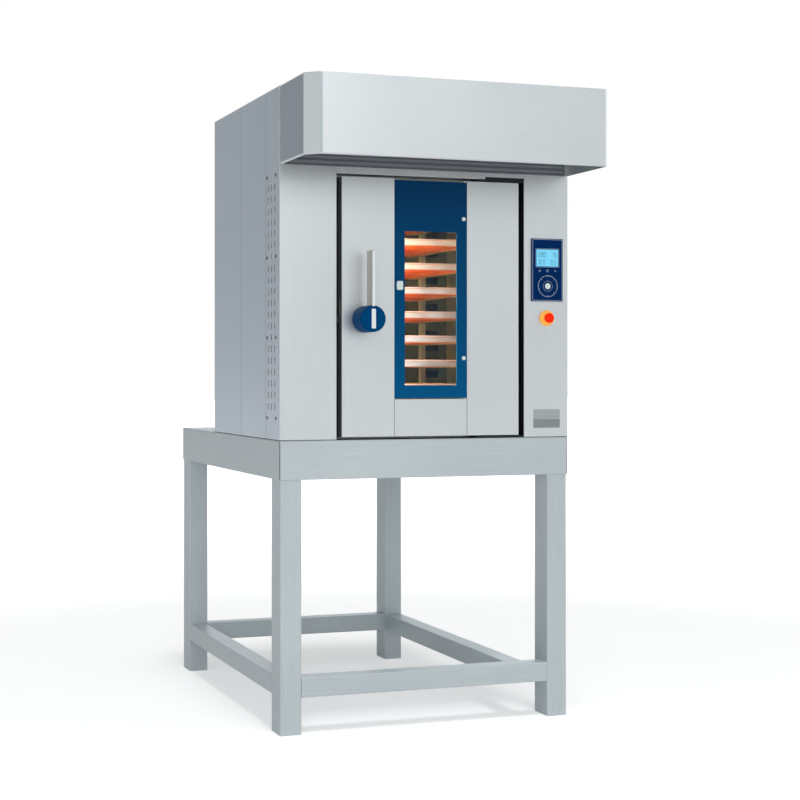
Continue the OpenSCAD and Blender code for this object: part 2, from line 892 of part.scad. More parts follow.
module runner() {
    color("silver")
        for (z = tray_z) {
            bar(runner_x - runner_t, runner_x, -tray_l/2 + 20, tray_l/2 - 20, z - runner_t, z + tray_h - 6);
            bar(runner_x - runner_w, runner_x, -tray_l/2 + 20, tray_l/2 - 20, z - runner_t, z);
        }
}

module tray_runners() {
    runner();
    translate([2*rack_x, 0, 0]) mirror([1, 0, 0]) runner();
}

module tray(z) {
    w = tray_w/2;
    l = tray_l/2;
    t = tray_sheet;
    color("gainsboro")
        difference() {
            bar(-w, w, -l, l, z, z + tray_h);
            bar(-w + t, w - t, -l + t, l - t, z + t, z + tray_h + eps);
        }
}

module baking_trays() {
    for (z = tray_z) tray(z);
}

shaft_top = drive_z + bearing_h + 60;

module rack_shaft() {
    color("silver") {
        rod_z(rack_x, rack_d, rack_shaft_r, top_bar_z + upright + 1, shaft_top);
        rod_z(rack_x, rack_d, rack_shaft_r + 12, top_bar_z + upright, top_bar_z + upright + 6);
    }
}

// The bush in the chamber floor and the bearing that the rack hangs in
module rack_bearings() {
    flange_z = cell_z0 + bush_flange;
    color("goldenrod") {
        difference() {
            union() {
                rod_z(rack_x, rack_d, bush_r, z0 + 22, flange_z);
                rod_z(rack_x, rack_d, bush_r + 8, cell_z0, flange_z);
            }
            rod_z(rack_x, rack_d, 8 + run, base_z - pin_below - 2, flange_z + eps);
        }
        difference() {
            rod_z(rack_x, rack_d, 40, drive_z, drive_z + bearing_h);
            rod_z(rack_x, rack_d, rack_shaft_r + run, drive_z - eps, drive_z + bearing_h + eps);
        }
    }
}

post_r = 8;

// The four posts that carry the drive's mounting plate on the chamber's ceiling
module drive_posts(r, over) {
    for (x = [-0.4, 0.4]*drive_plate[0])
        for (y = [-0.375, 0.375]*drive_plate[1])
            translate([rack_x + x, y0 + rack_d + y, cell_z1 + sheet - over])
                cylinder(r = r, h = insulation_t + 2*over);
}

// Mounting plate, gearbox and a motor lying beside it
module rack_gearmotor() {
    gz = drive_z + bearing_h;
    color("steelblue") {
        difference() {
            bar(-drive_plate[0]/2, drive_plate[0]/2, -drive_plate[1]/2, drive_plate[1]/2, box_z1, drive_z);
            rod_z(rack_x, rack_d, rack_shaft_r + mend, box_z1 - eps, drive_z + eps);
        }
        drive_posts(post_r, 0);
        difference() {
            union() {
                bar(-gearbox[0]/2, gearbox[0]/2, -gearbox[1]/2, gearbox[1]/2, gz, gz + gearbox[2]);
                translate([rack_x + gearbox[0]/2 - 1, y0 + rack_d, gz + gearbox[2]/2]) rotate([0, 90, 0])
                    cylinder(r = gearbox[2]/2 - 3, h = drive_motor_l);
            }
            rod_z(rack_x, rack_d, rack_shaft_r + run, gz - eps, shaft_top + 2);
        }
    }
}

// ---- door ----------------------------------------------------------------------------------------

// The holes that let the hinge pins into the door
module hinge_holes(r) {
    rod_z(hinge_x, hinge_depth, r, door_z0 - eps, door_z0 + hinge_block_h - 4);
    rod_z(hinge_x, hinge_depth, r, door_z1 - hinge_block_h + 4, door_z1 + eps);
}

// A skin folded back at its top, bottom and outer edge: outer is 0 for the left skin, 1 for the right
module folded_skin(xa, xb, outer) {
    difference() {
        slab(xa, xb, 0, door_t - skin, door_z0, door_z1);
        slab(outer == 0 ? xa + skin : xa - eps, outer == 0 ? xb + eps : xb - skin,
            skin, door_t, door_z0 + skin, door_z1 - skin);
    }
}

module door_side_skins() {
    tab = 2*pane_pivot_inset;
    color("gainsboro") {
        difference() {
            folded_skin(door_x0, pane_x0 - pane_gap, 0);
            rod_y(handle_x, handle_z, spindle_r + mend, -eps, skin + eps);
            // The way out for the latch arm
            slab(door_x0 - eps, door_x0 + skin + eps, arm_d - 2, arm_d + arm_t + 2,
                handle_z - arm_h/2 - 2, handle_z + arm_h/2 + 0.62*arm_reach);
        }
        difference() {
            union() {
                folded_skin(pane_x1 + pane_gap, door_x1, 1);
                // The tab over the pane that holds its upper pivot
                slab(pane_x1 - tab, pane_x1 + pane_gap + eps, 0, core_d, door_z1 - skin, door_z1);
            }
            hinge_holes(hinge_pin_r + mend);
            rod_z(pivot_x, pane_t/2, pivot_r + run, door_z1 - skin - eps, door_z1 + eps);
        }
    }
}

module door_lower_panel() {
    xa = pane_x0 - pane_gap + touch;
    xb = pane_x1 + pane_gap - touch;
    color("gainsboro")
        difference() {
            slab(xa, xb, 0, core_d - touch, door_z0, lower_z1);
            slab(xa - eps, xb + eps, skin, core_d, door_z0 + skin, lower_z1 - skin);
            rod_z(pivot_x, pane_t/2, pivot_r + run, lower_z1 - skin - eps, lower_z1 + eps);
        }
}

// Mineral wool round the reveal, with a pocket for the latch arm and room for the hinge blocks
module door_core() {
    xa = door_x0 + skin + touch;
    xb = door_x1 - skin - touch;
    za = door_z0 + skin + touch;
    zb = door_z1 - skin - touch;
    b = hinge_block/2 + touch;
    color("khaki")
        difference() {
            slab(xa, xb, core_d, door_t - skin, za, zb);
            slab(reveal_x0 - skin - touch, reveal_x1 + skin + touch, core_d - eps, door_t,
                reveal_z0 - skin - touch, reveal_z1 + skin + touch);
            rod_y(handle_x, handle_z, pocket_r, core_d - eps, arm_d + arm_t + 3);
            for (z = [door_z0, door_z1 - hinge_block_h - touch])
                slab(hinge_x - b, door_x1, 0, hinge_depth + b, z, z + hinge_block_h + touch);
        }
}

// The door's inner sheet, and the reveal that runs forward from it round the window
module door_inner_frame() {
    s = skin;
    color("silver")
        difference() {
            union() {
                slab(door_x0 + s, door_x1 - s, door_t - s, door_t, door_z0 + s, door_z1 - s);
                slab(reveal_x0 - s, reveal_x1 + s, core_d, door_t, reveal_z0 - s, reveal_z1 + s);
            }
            slab(reveal_x0, reveal_x1, core_d - eps, door_t + eps, reveal_z0, reveal_z1);
        }
}

// The inner glass, seated in the reveal
module door_inner_glass() {
    color("lightblue", 0.4)
        slab(reveal_x0 + touch, reveal_x1 - touch, door_t - inner_glass_t - 2, door_t - 2,
            reveal_z0 + touch, reveal_z1 - touch);
}

module door_seal() {
    a = seal_inset;
    b = seal_inset + seal_w;
    color("dimgray")
        difference() {
            slab(door_x0 + a, door_x1 - a, door_t, seal_d - touch, door_z0 + a + 14, door_z1 - a);
            slab(door_x0 + b, door_x1 - b, door_t - eps, seal_d + eps, door_z0 + b + 14, door_z1 - b);
        }
}

// The blocks in the door's right corners that turn on the hinge pins
module door_hinge_blocks() {
    b = hinge_block/2;
    depth = hinge_depth + b;
    color("dimgray")
        difference() {
            for (z = [door_z0 + skin, door_z1 - skin - hinge_block_h + skin])
                slab(hinge_x - b, door_x1 - skin, skin, depth, z, z + hinge_block_h - skin);
            hinge_holes(hinge_pin_r + run);
        }
}

// The brackets on the cabinet over and under the door, with their pins
module hinge_brackets() {
    xa = hinge_x - bracket_reach;
    boss_r = hinge_pin_r + 4;
    color("black") {
        // Lower bracket, on the stand's top
        slab(xa, open_x1 - touch, 0, seal_d, z0, z0 + bracket_t);
        rod_z(hinge_x, hinge_depth, boss_r, z0 + bracket_t - 1, door_z0 - touch);
        rod_z(hinge_x, hinge_depth, hinge_pin_r, z0 + bracket_t, door_z0 + hinge_block_h - 6);
        // Upper bracket, under the header
        slab(xa, open_x1 - touch, 0, seal_d, header_z - bracket_t, header_z);
        rod_z(hinge_x, hinge_depth, boss_r, door_z1 + touch, header_z - bracket_t + 1);
        rod_z(hinge_x, hinge_depth, hinge_pin_r, door_z1 - hinge_block_h + 6, header_z - bracket_t);
    }
}

// A block on the left jamb, in front of the latch arm's end
module latch_keeper() {
    color("dimgray")
        slab(open_x0, handle_x - arm_reach - keeper_gap, arm_d - 8, arm_d - 1,
            handle_z - 22, handle_z + 22);
}

// ---- outer pane ----------------------------------------------------------------------------------

module pane_border() {
    color("midnightblue")
        difference() {
            slab(pane_x0, pane_x1, 0, pane_t, pane_z0, pane_z1);
            slab(window_x0, window_x1, -eps, pane_t + eps, window_z0, window_z1);
            for (z = button_z) rod_y(button_x, z, 3, -eps, pane_t + eps);
            rod_y(catch_x, catch_z, 5, -eps, pane_t + eps);
        }
}

module pane_window() {
    color("lightblue", 0.3) slab(window_x0, window_x1, 0, pane_t, window_z0, window_z1);
}

// A rail behind the pane's right edge, held by two round buttons, with a pivot pin at each end
module pane_hinge() {
    xa = pane_x1 - 22;
    xb = pane_x1 - 1;
    rail_t = 1.5;
    tab_xa = pivot_x - 4;
    color("whitesmoke") {
        slab(xa, xb, pane_t, pane_t + rail_t, pane_z0 - pane_tab, pane_z1 + pane_tab);
        slab(tab_xa, xb, 0.5, pane_t + 1, pane_z0 - pane_tab, pane_z0);
        slab(tab_xa, xb, 0.5, pane_t + 1, pane_z1, pane_z1 + pane_tab);
        rod_z(pivot_x, pane_t/2, pivot_r, lower_z1 - skin, pane_z0 - pane_tab/2);
        rod_z(pivot_x, pane_t/2, pivot_r, pane_z1 + pane_tab/2, door_z1);
        for (z = button_z) {
            rod_y(button_x, z, 2.7, -1, pane_t + 1);
            rod_y(button_x, z, button_r, -2.5, 0);
        }
    }
}

module pane_catch() {
    w = catch_w/2;
    h = catch_h/2;
    color("whitesmoke") {
        slab(catch_x - w, catch_x + w, -6, 0, catch_z - h, catch_z + h);
        rod_y(catch_x, catch_z, 4.7, -1, pane_t + 1);
        rod_y(catch_x, catch_z, 9, pane_t, core_d - touch);
    }
}

// ---- handle --------------------------------------------------------------------------------------

module handle_rose() {
    color("silver")
        difference() {
            rod_y(handle_x, handle_z, 0.4*hub_d, -rose_t, 0);
            rod_y(handle_x, handle_z, spindle_r + run, -rose_t - eps, eps);
        }
}

// The lever's blade seen from the side, as depth and height; its lower front edge is the pointer
module blade_outline() {
    front = -hub_reach + 1;
    polygon([
        [front, -pointer_h/2], [front, pointer_h/2],
        [front + bridge_t, pointer_h/2], [front + bridge_t, blade_rise],
        [front + bridge_t + blade_d, blade_rise], [front + bridge_t + blade_d, -pointer_h/2]
    ]);
}

module blade_solid(t) {
    translate([handle_x + t/2, y0, handle_z]) rotate([0, 0, 90]) rotate([90, 0, 0])
        mirror([0, 0, 1]) linear_extrude(t) blade_outline();
}

module handle_lever() {
    color("gainsboro") blade_solid(blade_t);
}

module handle_hub() {
    r = hub_d/2;
    l = hub_reach - rose_t - touch;
    e = 10;
    color("midnightblue")
        difference() {
            translate([handle_x, y0 - rose_t - touch, handle_z]) rotate([90, 0, 0])
                rotate_extrude($fn = 72) {
                    square([r, l - e]);
                    square([r - e, l]);
                    translate([r - e, l - e]) intersection() {
                        circle(r = e);
                        square(e);
                    }
                }
            blade_solid(blade_t + 2*touch/3);
            translate([handle_x - blade_t/2 - touch/3, y0 - hub_reach - eps, handle_z - pointer_h/2])
                cube([blade_t + 2*touch/3, 3, pointer_h]);
        }
}

// The spindle and the arm on it, inside the door
module latch_cam() {
    color("dimgray") {
        rod_y(handle_x, handle_z, spindle_r, -rose_t - touch, arm_d + arm_t);
        slab(handle_x - arm_reach, handle_x + 8, arm_d, arm_d + arm_t,
            handle_z - arm_h/2, handle_z + arm_h/2);
    }
}

// ---- controls ------------------------------------------------------------------------------------

key_x = [for (k = [-1:1]) plate_x + k*key_step];

module control_plate() {
    front = -plate_t;
    color("midnightblue")
        difference() {
            slab(plate_x - plate_w/2, plate_x + plate_w/2, front, 0, plate_z0, plate_z0 + plate_h);
            // Seats of the display, the keys and the dial
            slab(plate_x - display_w/2 - touch, plate_x + display_w/2 + touch, front - eps, front + 2,
                display_z - display_h/2 - touch, display_z + display_h/2 + touch);
            for (x = key_x) rod_y(x, key_z, key_r + run, front - eps, front + control_depth);
            rod_y(plate_x, dial_z, dial_r + run, front - eps, front + control_depth);
        }
}

module display_window() {
    color("lightskyblue")
        slab(plate_x - display_w/2, plate_x + display_w/2, -plate_t, -plate_t + 2,
            display_z - display_h/2, display_z + display_h/2);
}

module key(x) {
    color("steelblue") rod_y(x, key_z, key_r, -plate_t - 1, -plate_t + 2.2);
}

module key_left() {
    key(key_x[0]);
}

module key_middle() {
    key(key_x[1]);
}

module key_right() {
    key(key_x[2]);
}

module dial() {
    color("darkslateblue")
        difference() {
            rod_y(plate_x, dial_z, dial_r, -plate_t - dial_rise, -plate_t + control_depth - 0.5);
            rod_y(plate_x, dial_z, dial_button_r + run, -plate_t - dial_rise - eps, -plate_t + 0.5);
        }
}

module dial_button() {
    color("white")
        rod_y(plate_x, dial_z, dial_button_r, -plate_t - dial_rise - 1, -plate_t - key_travel - 0.3);
}

collar_d = 10;                       // how far the stop button's collar stands forward

module stop_base() {
    color("gold")
        difference() {
            union() {
                rod_y(plate_x, stop_z, stop_base_r, -5, 0);
                rod_y(plate_x, stop_z, stop_r - 2, -collar_d, -4);
            }
            rod_y(plate_x, stop_z, stop_stem_r + run, -collar_d - eps, eps);
        }
}

module stop_button() {
    face = collar_d + stop_travel + 1;
    color("red")
        translate([plate_x, y0, stop_z]) rotate([90, 0, 0])
            rotate_extrude() {
                square([stop_stem_r, face + 1]);
                translate([0, face]) square([stop_r, 7]);
                translate([0, face + 7]) intersection() {
                    square([stop_r, stop_r]);
                    translate([0, -0.75*stop_r]) circle(r = 1.25*stop_r);
                }
            }
}

module blank_plate() {
    color("darkgray")
        slab(plate_x - blank_w/2, plate_x + blank_w/2, -1.5, 0,
            z0 + blank_rise, z0 + blank_rise + blank_h);
}

// ---- services ------------------------------------------------------------------------------------

// The steam exhaust, from the chamber's ceiling to above the roof
module exhaust_pipe() {
    color("silver")
        difference() {
            union() {
                rod_z(exhaust_x, exhaust_d, exhaust_r - 1, cell_z1 + sheet, z1 + exhaust_h);
                rod_z(exhaust_x, exhaust_d, exhaust_r, z1, z1 + exhaust_h);
            }
            rod_z(exhaust_x, exhaust_d, exhaust_r - 1 - exhaust_wall, cell_z1, z1 + exhaust_h + eps);
        }
}

module cable_gland() {
    color("dimgray")
        difference() {
            union() {
                rod_y(gland_x, gland_z, gland_r + 3.7, body_d - sheet - 8, body_d + 26);
                translate([gland_x, y0 + body_d, gland_z]) rotate([-90, 0, 0])
                    cylinder(r = gland_r + 9, h = 12, $fn = 6);
            }
            rod_y(gland_x, gland_z, gland_r, body_d - sheet - 8 - eps, body_d + 26 + eps);
        }
}

// ---- nodes ---------------------------------------------------------------------------------------

stand_legs();
stand_stretchers();
stand_apron();
stand_top();
left_vent_panel();
left_side_panels();
right_side_panels();
rear_panel();
roof_panel();
left_column();
control_column();
door_header();
panel_screws();
hood_shell();
chamber_front_frame();
chamber_lining();
insulation();
air_baffle();
chamber_lamp();
steam_pipe();
heat_box_casing();
heating_rings();
fan_wheel();
fan_motor();
motor_cover();
rack_frame();
tray_runners();
baking_trays();
rack_shaft();
rack_bearings();
rack_gearmotor();
door_side_skins();
door_lower_panel();
door_core();
door_inner_frame();
door_inner_glass();
door_seal();
door_hinge_blocks();
hinge_brackets();
latch_keeper();
pane_border();
pane_window();
pane_hinge();
pane_catch();
handle_rose();
handle_hub();
handle_lever();
latch_cam();
control_plate();
display_window();
key_left();
key_middle();
key_right();
dial();
dial_button();
stop_base();
stop_button();
blank_plate();
exhaust_pipe();
cable_gland();
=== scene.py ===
# %% [markdown]
# # Dressing a rack oven
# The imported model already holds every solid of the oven, in metres, standing on Z = 0 with its front
# towards -Y. This notebook keeps those solids as its frame and gives them their looks: folded edges,
# rolled rims, a lit chamber, printed glass and brushed steel. A piece that is only plain in the solids is
# made again as a surface worked out with numpy, and then it stands for that solid.

# %% Load the frame
import math

import bmesh
import bpy
import numpy as np
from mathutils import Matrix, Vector


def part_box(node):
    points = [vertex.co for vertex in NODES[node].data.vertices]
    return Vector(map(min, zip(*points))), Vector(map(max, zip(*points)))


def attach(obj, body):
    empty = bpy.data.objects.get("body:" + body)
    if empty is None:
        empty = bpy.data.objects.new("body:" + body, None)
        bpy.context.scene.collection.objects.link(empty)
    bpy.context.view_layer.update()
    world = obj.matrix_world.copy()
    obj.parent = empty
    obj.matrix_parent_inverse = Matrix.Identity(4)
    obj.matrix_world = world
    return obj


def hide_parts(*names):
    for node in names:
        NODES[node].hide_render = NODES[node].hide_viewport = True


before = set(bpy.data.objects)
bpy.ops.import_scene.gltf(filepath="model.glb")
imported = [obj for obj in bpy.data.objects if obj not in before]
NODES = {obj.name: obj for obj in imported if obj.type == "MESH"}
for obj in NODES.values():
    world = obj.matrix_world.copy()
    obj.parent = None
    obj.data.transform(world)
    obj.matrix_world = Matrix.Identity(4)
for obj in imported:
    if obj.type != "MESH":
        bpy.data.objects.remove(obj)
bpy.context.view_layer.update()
MM = 0.001
scene = bpy.context.scene
scene.view_settings.view_transform = "Standard"

# %% [markdown]
# ## The camera
# The picture was taken from the left, level with the middle of the handle. Its upright edges are upright,
# so the camera isn't tilted: it looks level and the picture is moved on the sensor instead, with the shift.
# A tilt would have made the legs lean towards each other.

# %% Camera
turned_right = math.radians(20.1)
camera = bpy.data.objects.new("camera", bpy.data.cameras.new("camera"))
camera.location = (-1.993, -5.7105, 1.151)
camera.rotation_euler = (math.pi/2, 0, -turned_right)
camera.data.lens = 76.95
camera.data.shift_y = -0.0363
scene.collection.objects.link(camera)
scene.camera = camera
print("camera looks along", round(math.sin(turned_right), 3), round(math.cos(turned_right), 3))

# %% [markdown]
# ## Drawing shader graphs
# A finish, and the world too, is a small graph of shader nodes. All finishes start from Object
# coordinates, which are metres here, so a grain that is two millimetres wide is written as a scale of 500.
# The helper below only makes nodes and links them; each finish after it says what is on the real sheet.

# %% A helper that draws shader graphs
def lin(red, green, blue):
    """A screen colour 0..255 as linear light: c/12.92 near black, ((c + 0.055)/1.055)^2.4 above it."""
    c = np.array([red, green, blue])/255
    return tuple(np.where(c <= 0.04045, c/12.92, ((c + 0.055)/1.055)**2.4)) + (1.0,)


def shade(colour, factor):
    """The colour times a factor, held at full brightness."""
    return tuple(min(1.0, c*factor) for c in colour[:3]) + (1.0,)


class Graph:
    """The shader graph of a material or world. add() makes a node and fills or links its sockets by name."""

    def __init__(self, owner, coordinates="Object"):
        self.owner = owner
        owner.use_nodes = True
        self.tree = owner.node_tree
        self.tree.nodes.clear()
        self.place = self.add("TexCoord").outputs[coordinates]

    def fill(self, socket, value):
        """A socket of another node is linked; a plain value is written into the socket."""
        if isinstance(value, bpy.types.NodeSocket):
            self.tree.links.new(value, socket)
        else:
            socket.default_value = value

    def add(self, kind, sockets=None, **settings):
        """A shader node of this kind, with its settings and the named sockets filled."""
        made = self.tree.nodes.new("ShaderNode" + kind)
        for key, value in settings.items():
            setattr(made, key, value)
        for key, value in (sockets or {}).items():
            self.fill(made.inputs[key], value)
        return made

    def noise(self, stretch=(1, 1, 1), scale=1.0, detail=3.0):
        """Noise on the object's metres, each axis multiplied by its stretch first."""
        moved = self.add("Mapping", {"Vector": self.place, "Scale": stretch}).outputs[0]
        return self.add("TexNoise", {"Vector": moved, "Scale": scale, "Detail": detail}).outputs[0]

    def spread(self, value, low, high, from_low=0.3, from_high=0.7):
        """A value between from_low and from_high, drawn out to run from low to high."""
        return self.add("MapRange", {"Value": value, "From Min": from_low, "From Max": from_high,
                                     "To Min": low, "To Max": high}).outputs[0]

    def math(self, operation, a, b):
        """One step of arithmetic on two values."""
        return self.add("Math", {0: a, 1: b}, operation=operation).outputs[0]

    def mix(self, factor, first, second):
        """The first colour at factor 0, the second at factor 1."""
        return self.add("Mix", data_type="RGBA", sockets={0: factor, 6: first, 7: second}).outputs[2]

    def bump(self, height, strength, distance):
        """A height in the noise as a dent in the light, at most the distance deep."""
        return self.add("Bump", {"Height": height, "Strength": strength, "Distance": distance}).outputs[0]

    def close(self, sockets):
        """Ends the graph in a Principled shader with these sockets and gives back the material."""
        shader = self.add("BsdfPrincipled", sockets)
        self.add("OutputMaterial", {"Surface": shader.outputs[0]})
        return self.owner


FINISH = {}


def finish(name):
    """A new material under its finish's name, as an empty graph."""
    FINISH[name] = bpy.data.materials.new(name)
    return Graph(FINISH[name])


print("white as light", lin(255, 255, 255))

# %% [markdown]
# ## Light and floor
# Bakery machines are photographed in a white studio and lit from the front. The world is plain white to
# the camera, so the background is white whatever lights the oven. Steel is a dull mirror, and it is given a
# room to reflect: pale in front, brighter behind to the right, and dim behind to the left, where the oven's
# left side looks. Those differences are what part a steel edge from its neighbour. Matt faces get less of
# this light than mirrors do, because they gather it from everywhere.

# %% World
mirrored_front, mirrored_left, mirrored_right = 0.88, 0.38, 1.5
matt_front, matt_rear = 0.54, 0.16
world = bpy.data.worlds.new("white_studio")
scene.world = world
g = Graph(world, "Generated")
rays = g.add("LightPath")
across, behind, _ = g.add("SeparateXYZ", {0: g.place}).outputs
to_rear = g.spread(behind, 0, 1, -0.5, 0.5)
behind_right = g.spread(across, mirrored_left, mirrored_right, -0.4, 0.3)
in_front = g.math("SUBTRACT", 1.0, to_rear)
mirrored = g.math("ADD", g.math("MULTIPLY", behind_right, to_rear),
                  g.math("MULTIPLY", in_front, mirrored_front))
diffuse = g.math("ADD", g.math("MULTIPLY", to_rear, matt_rear), g.math("MULTIPLY", in_front, matt_front))
clear_view = g.math("MAXIMUM", rays.outputs["Is Camera Ray"], rays.outputs["Is Transmission Ray"])
is_mirror = rays.outputs["Is Glossy Ray"]
strength = g.math("ADD", g.math("MULTIPLY", is_mirror, mirrored),
                  g.math("MULTIPLY", g.math("SUBTRACT", 1.0, is_mirror), diffuse))
white = g.add("Background", {"Color": (0.96, 0.985, 1.0, 1), "Strength": strength})
pure = g.add("Background", {"Color": (1, 1, 1, 1), "Strength": 1.0})
either = g.add("MixShader", {0: clear_view, 1: white.outputs[0], 2: pure.outputs[0]})
g.add("OutputWorld", {"Surface": either.outputs[0]})
print("mirrored light, front", mirrored_front, "rear", mirrored_left, "to", mirrored_right)

# %% [markdown]
# Two softboxes stand in front on the left, one high and one level with the door, so that the hood throws
# hardly any shadow on it. A weak, soft sun from overhead lays the stand's shadow on the floor. Seen from the
# right, the brushed front would mirror the low box as one white patch, so mirrors leave that box out.

# %% Softboxes and overhead sun
def lamp(name, kind, energy, colour, place, aim, **more):
    """A lamp at its place, shining along its aim; the rest goes to the lamp's own settings."""
    made = bpy.data.objects.new(name, bpy.data.lights.new(name, kind))
    made.data.energy, made.data.color = energy, colour
    for key, value in more.items():
        setattr(made.data, key, value)
    made.location = place
    made.rotation_euler = Vector(aim).to_track_quat("-Z", "Y").to_euler()
    scene.collection.objects.link(made)
    return made


lamp("high_softbox", "AREA", 26.0, (1.0, 0.99, 0.97), (-0.8, -4.7, 3.0), (0.15, 0.9, -0.44),
     shape="RECTANGLE", size=3.2, size_y=1.8)
low_softbox = lamp("low_softbox", "AREA", 54.0, (1, 1, 1), (-2.6, -5.6, 1.2), (0.43, 0.9, 0),
                   shape="RECTANGLE", size=2.2, size_y=1.8)
low_softbox.visible_glossy = False
lamp("overhead_sun", "SUN", 0.82, (1, 1, 1), (0, 0, 5), (0.02, 0.34, -1), angle=math.radians(14))

# %% [markdown]
# The floor is white paint. It is a little too dim under these lights to vanish in the white of the picture,
# so it gives off some light towards the camera, mirrors and glass, and more of it further out, where it
# melts into the white behind. Near the oven the soft shadow stays.

# %% Floor
half = 60.0
corners = [(-half, -half, 0), (half, -half, 0), (half, half, 0), (-half, half, 0)]
floor_mesh = bpy.data.meshes.new("studio_floor")
floor_mesh.from_pydata(corners, [], [(0, 1, 2, 3)])
floor = bpy.data.objects.new("studio_floor", floor_mesh)
floor.location.z = -0.5*MM
scene.collection.objects.link(floor)
g = finish("studio_floor")
rays = g.add("LightPath")
seen = g.math("MAXIMUM", rays.outputs["Is Camera Ray"], rays.outputs["Is Transmission Ray"])
looked_at = g.math("MAXIMUM", seen, g.math("MULTIPLY", rays.outputs["Is Glossy Ray"], 0.45))
distance = g.add("VectorMath", {0: g.place}, operation="LENGTH").outputs["Value"]
far_glow = g.spread(distance, 0.39, 1.0, 2.4, 9.0)
clouds = g.spread(g.noise((1, 1, 1), 0.8, 2), 0, 1)
g.close({
    "Base Color": g.mix(clouds, (0.93, 0.93, 0.93, 1), (0.95, 0.95, 0.95, 1)),
    "Roughness": 0.9,
    "Specular IOR Level": 0.0,
    "Emission Color": (1, 1, 1, 1),
    "Emission Strength": g.math("MULTIPLY", looked_at, far_glow),
})
floor.data.materials.append(FINISH["studio_floor"])
print("floor", 2*half, "m across")

# %% [markdown]
# ## Finishes
# Brushed stainless steel is rolled, then rubbed with a belt in one direction. Up close there are fine
# scratches a fraction of a millimetre wide and centimetres long; from far away they only widen the
# highlight. So the graph squeezes a noise hard across the grain, moves roughness and height with it, and
# adds a second, slow noise for the cloudy look of a large sheet. The stand is the same graph with much less
# metal in it, because its grey is a lacquer.

# %% Brushed steels
GRAIN = {"x": (6, 500, 500), "z": (500, 500, 6)}


def brushed(name, colour, along="z", metal=0.82, rough=0.36, contrast=0.05, specular=0.5, tint=(1, 1, 1)):
    """Scratches = noise squeezed across the grain; clouds = slow noise; both shift colour and roughness.
    The tint multiplies the bright end, so that the clouds also change hue a little."""
    bright = tuple(c*t for c, t in zip(shade(colour, 1 + contrast), (*tint, 1)))
    g = finish(name)
    scratches = g.noise(GRAIN[along], 1.0, 4.0)
    clouds = g.noise((1, 1, 1), 2.2, 2.0)
    both = g.math("ADD", g.math("MULTIPLY", scratches, 0.55), g.math("MULTIPLY", clouds, 0.45))
    g.close({
        "Base Color": g.mix(g.spread(both, 0.0, 1.0), shade(colour, 1 - contrast), bright),
        "Metallic": metal,
        "Roughness": g.spread(both, rough - 0.07, rough + 0.07),
        "Specular IOR Level": specular,
        "Normal": g.bump(scratches, 0.10, 0.0004),
    })


brushed("steel_body", lin(206, 211, 213), "z", specular=0.3)
# The sides' steel is the front's steel made darker: painted shade, the shade on the oven's sides, left and
# right alike.
brushed("steel_side", lin(184, 195, 205), "z", specular=0.3)
# Darker still for the hood's left end cap: painted shade of that end.
brushed("steel_cap_painted_shade", lin(156, 167, 178), "z", specular=0.3)
brushed("steel_hood", lin(208, 213, 215), "x", specular=0.3)
# Darker steel for the lip beside the hood's cut corner: painted shade of the step there.
brushed("steel_lip_painted_shade", lin(170, 180, 184), "z")
# The handle's blade: steel darker and warmer than the cabinet's, painted shade of its left side.
brushed("lever_steel_painted_shade", lin(176, 170, 163), "z", metal=0.75, rough=0.3)
brushed("lining_steel", lin(168, 170, 172), "z", rough=0.42)
# Dark green-grey for the baffle at the chamber's back: painted shade for the dark gaps between the trays.
brushed("baffle_painted_shade", lin(84, 94, 88), "z", metal=0.6, rough=0.45)
brushed("bare_steel", lin(150, 152, 155), "z", metal=0.9, rough=0.3)
for name, along in (("stand_paint", "z"), ("stretcher_x", "x")):
    brushed(name, lin(192, 200, 206), along, metal=0.3, rough=0.42, contrast=0.09, specular=0.1,
            tint=(0.99, 1.02, 0.97))
brushed("bearing_bronze", lin(190, 150, 80), "z", metal=0.95, rough=0.3)
print("brushed steels", len(FINISH))

# %% [markdown]
# The rear of such a machine stands against a wall and is left in zinc-coated sheet. Zinc freezes in
# crystals a centimetre across, each with its own shade: a Voronoi cell pattern gives every cell one random
# value. Bakers' trays carry a brown glaze on their flat faces, so that nothing sticks, while their rims are
# bare: the glaze goes where a face looks up or down. A thin bloom from baking fat lies over both.

# %% Zinc, trays, heaters, paint and plate
def zinc(name, colour):
    """Cells of random shade, about 12 mm across, with a fine grain on them."""
    g = finish(name)
    cells = g.add("TexVoronoi", {"Vector": g.place, "Scale": 85.0}).outputs["Color"]
    value = g.add("SeparateColor", {0: cells}).outputs[0]
    g.close({
        "Base Color": g.mix(g.spread(value, 0, 1, 0, 1), shade(colour, 0.92), shade(colour, 1.06)),
        "Metallic": 0.75,
        "Roughness": g.spread(value, 0.38, 0.55, 0, 1),
        "Normal": g.bump(g.noise((1, 1, 1), 300, 2), 0.05, 0.0003),
    })


zinc("galvanised", lin(188, 193, 197))

g = finish("tray_metal")
bloom = g.spread(g.noise((1, 1, 1), 9, 4), 0, 1, 0.42, 0.62)
upward = g.add("SeparateXYZ", {0: g.add("NewGeometry").outputs["Normal"]}).outputs[2]
baked = g.spread(g.math("ABSOLUTE", upward, 0.0), 0, 1, 0.55, 0.9)
bare = g.mix(bloom, lin(232, 233, 234), lin(206, 200, 194))
glazed = g.mix(bloom, lin(228, 138, 64), lin(188, 100, 40))
g.close({
    "Base Color": g.mix(baked, bare, glazed),
    "Metallic": g.spread(baked, 0.35, 0.1, 0, 1),
    "Roughness": g.spread(bloom, 0.32, 0.5, 0, 1),
    "Normal": g.bump(g.noise((1, 1, 1), 260, 2), 0.06, 0.0004),
})

g = finish("heater_steel")
tint = g.spread(g.noise((1, 1, 1), 14, 3), 0, 1)
g.close({
    "Base Color": g.mix(tint, lin(70, 62, 60), lin(128, 104, 84)),
    "Metallic": 0.7,
    "Roughness": g.spread(tint, 0.45, 0.65, 0, 1),
    "Normal": g.bump(tint, 0.1, 0.0004),
})

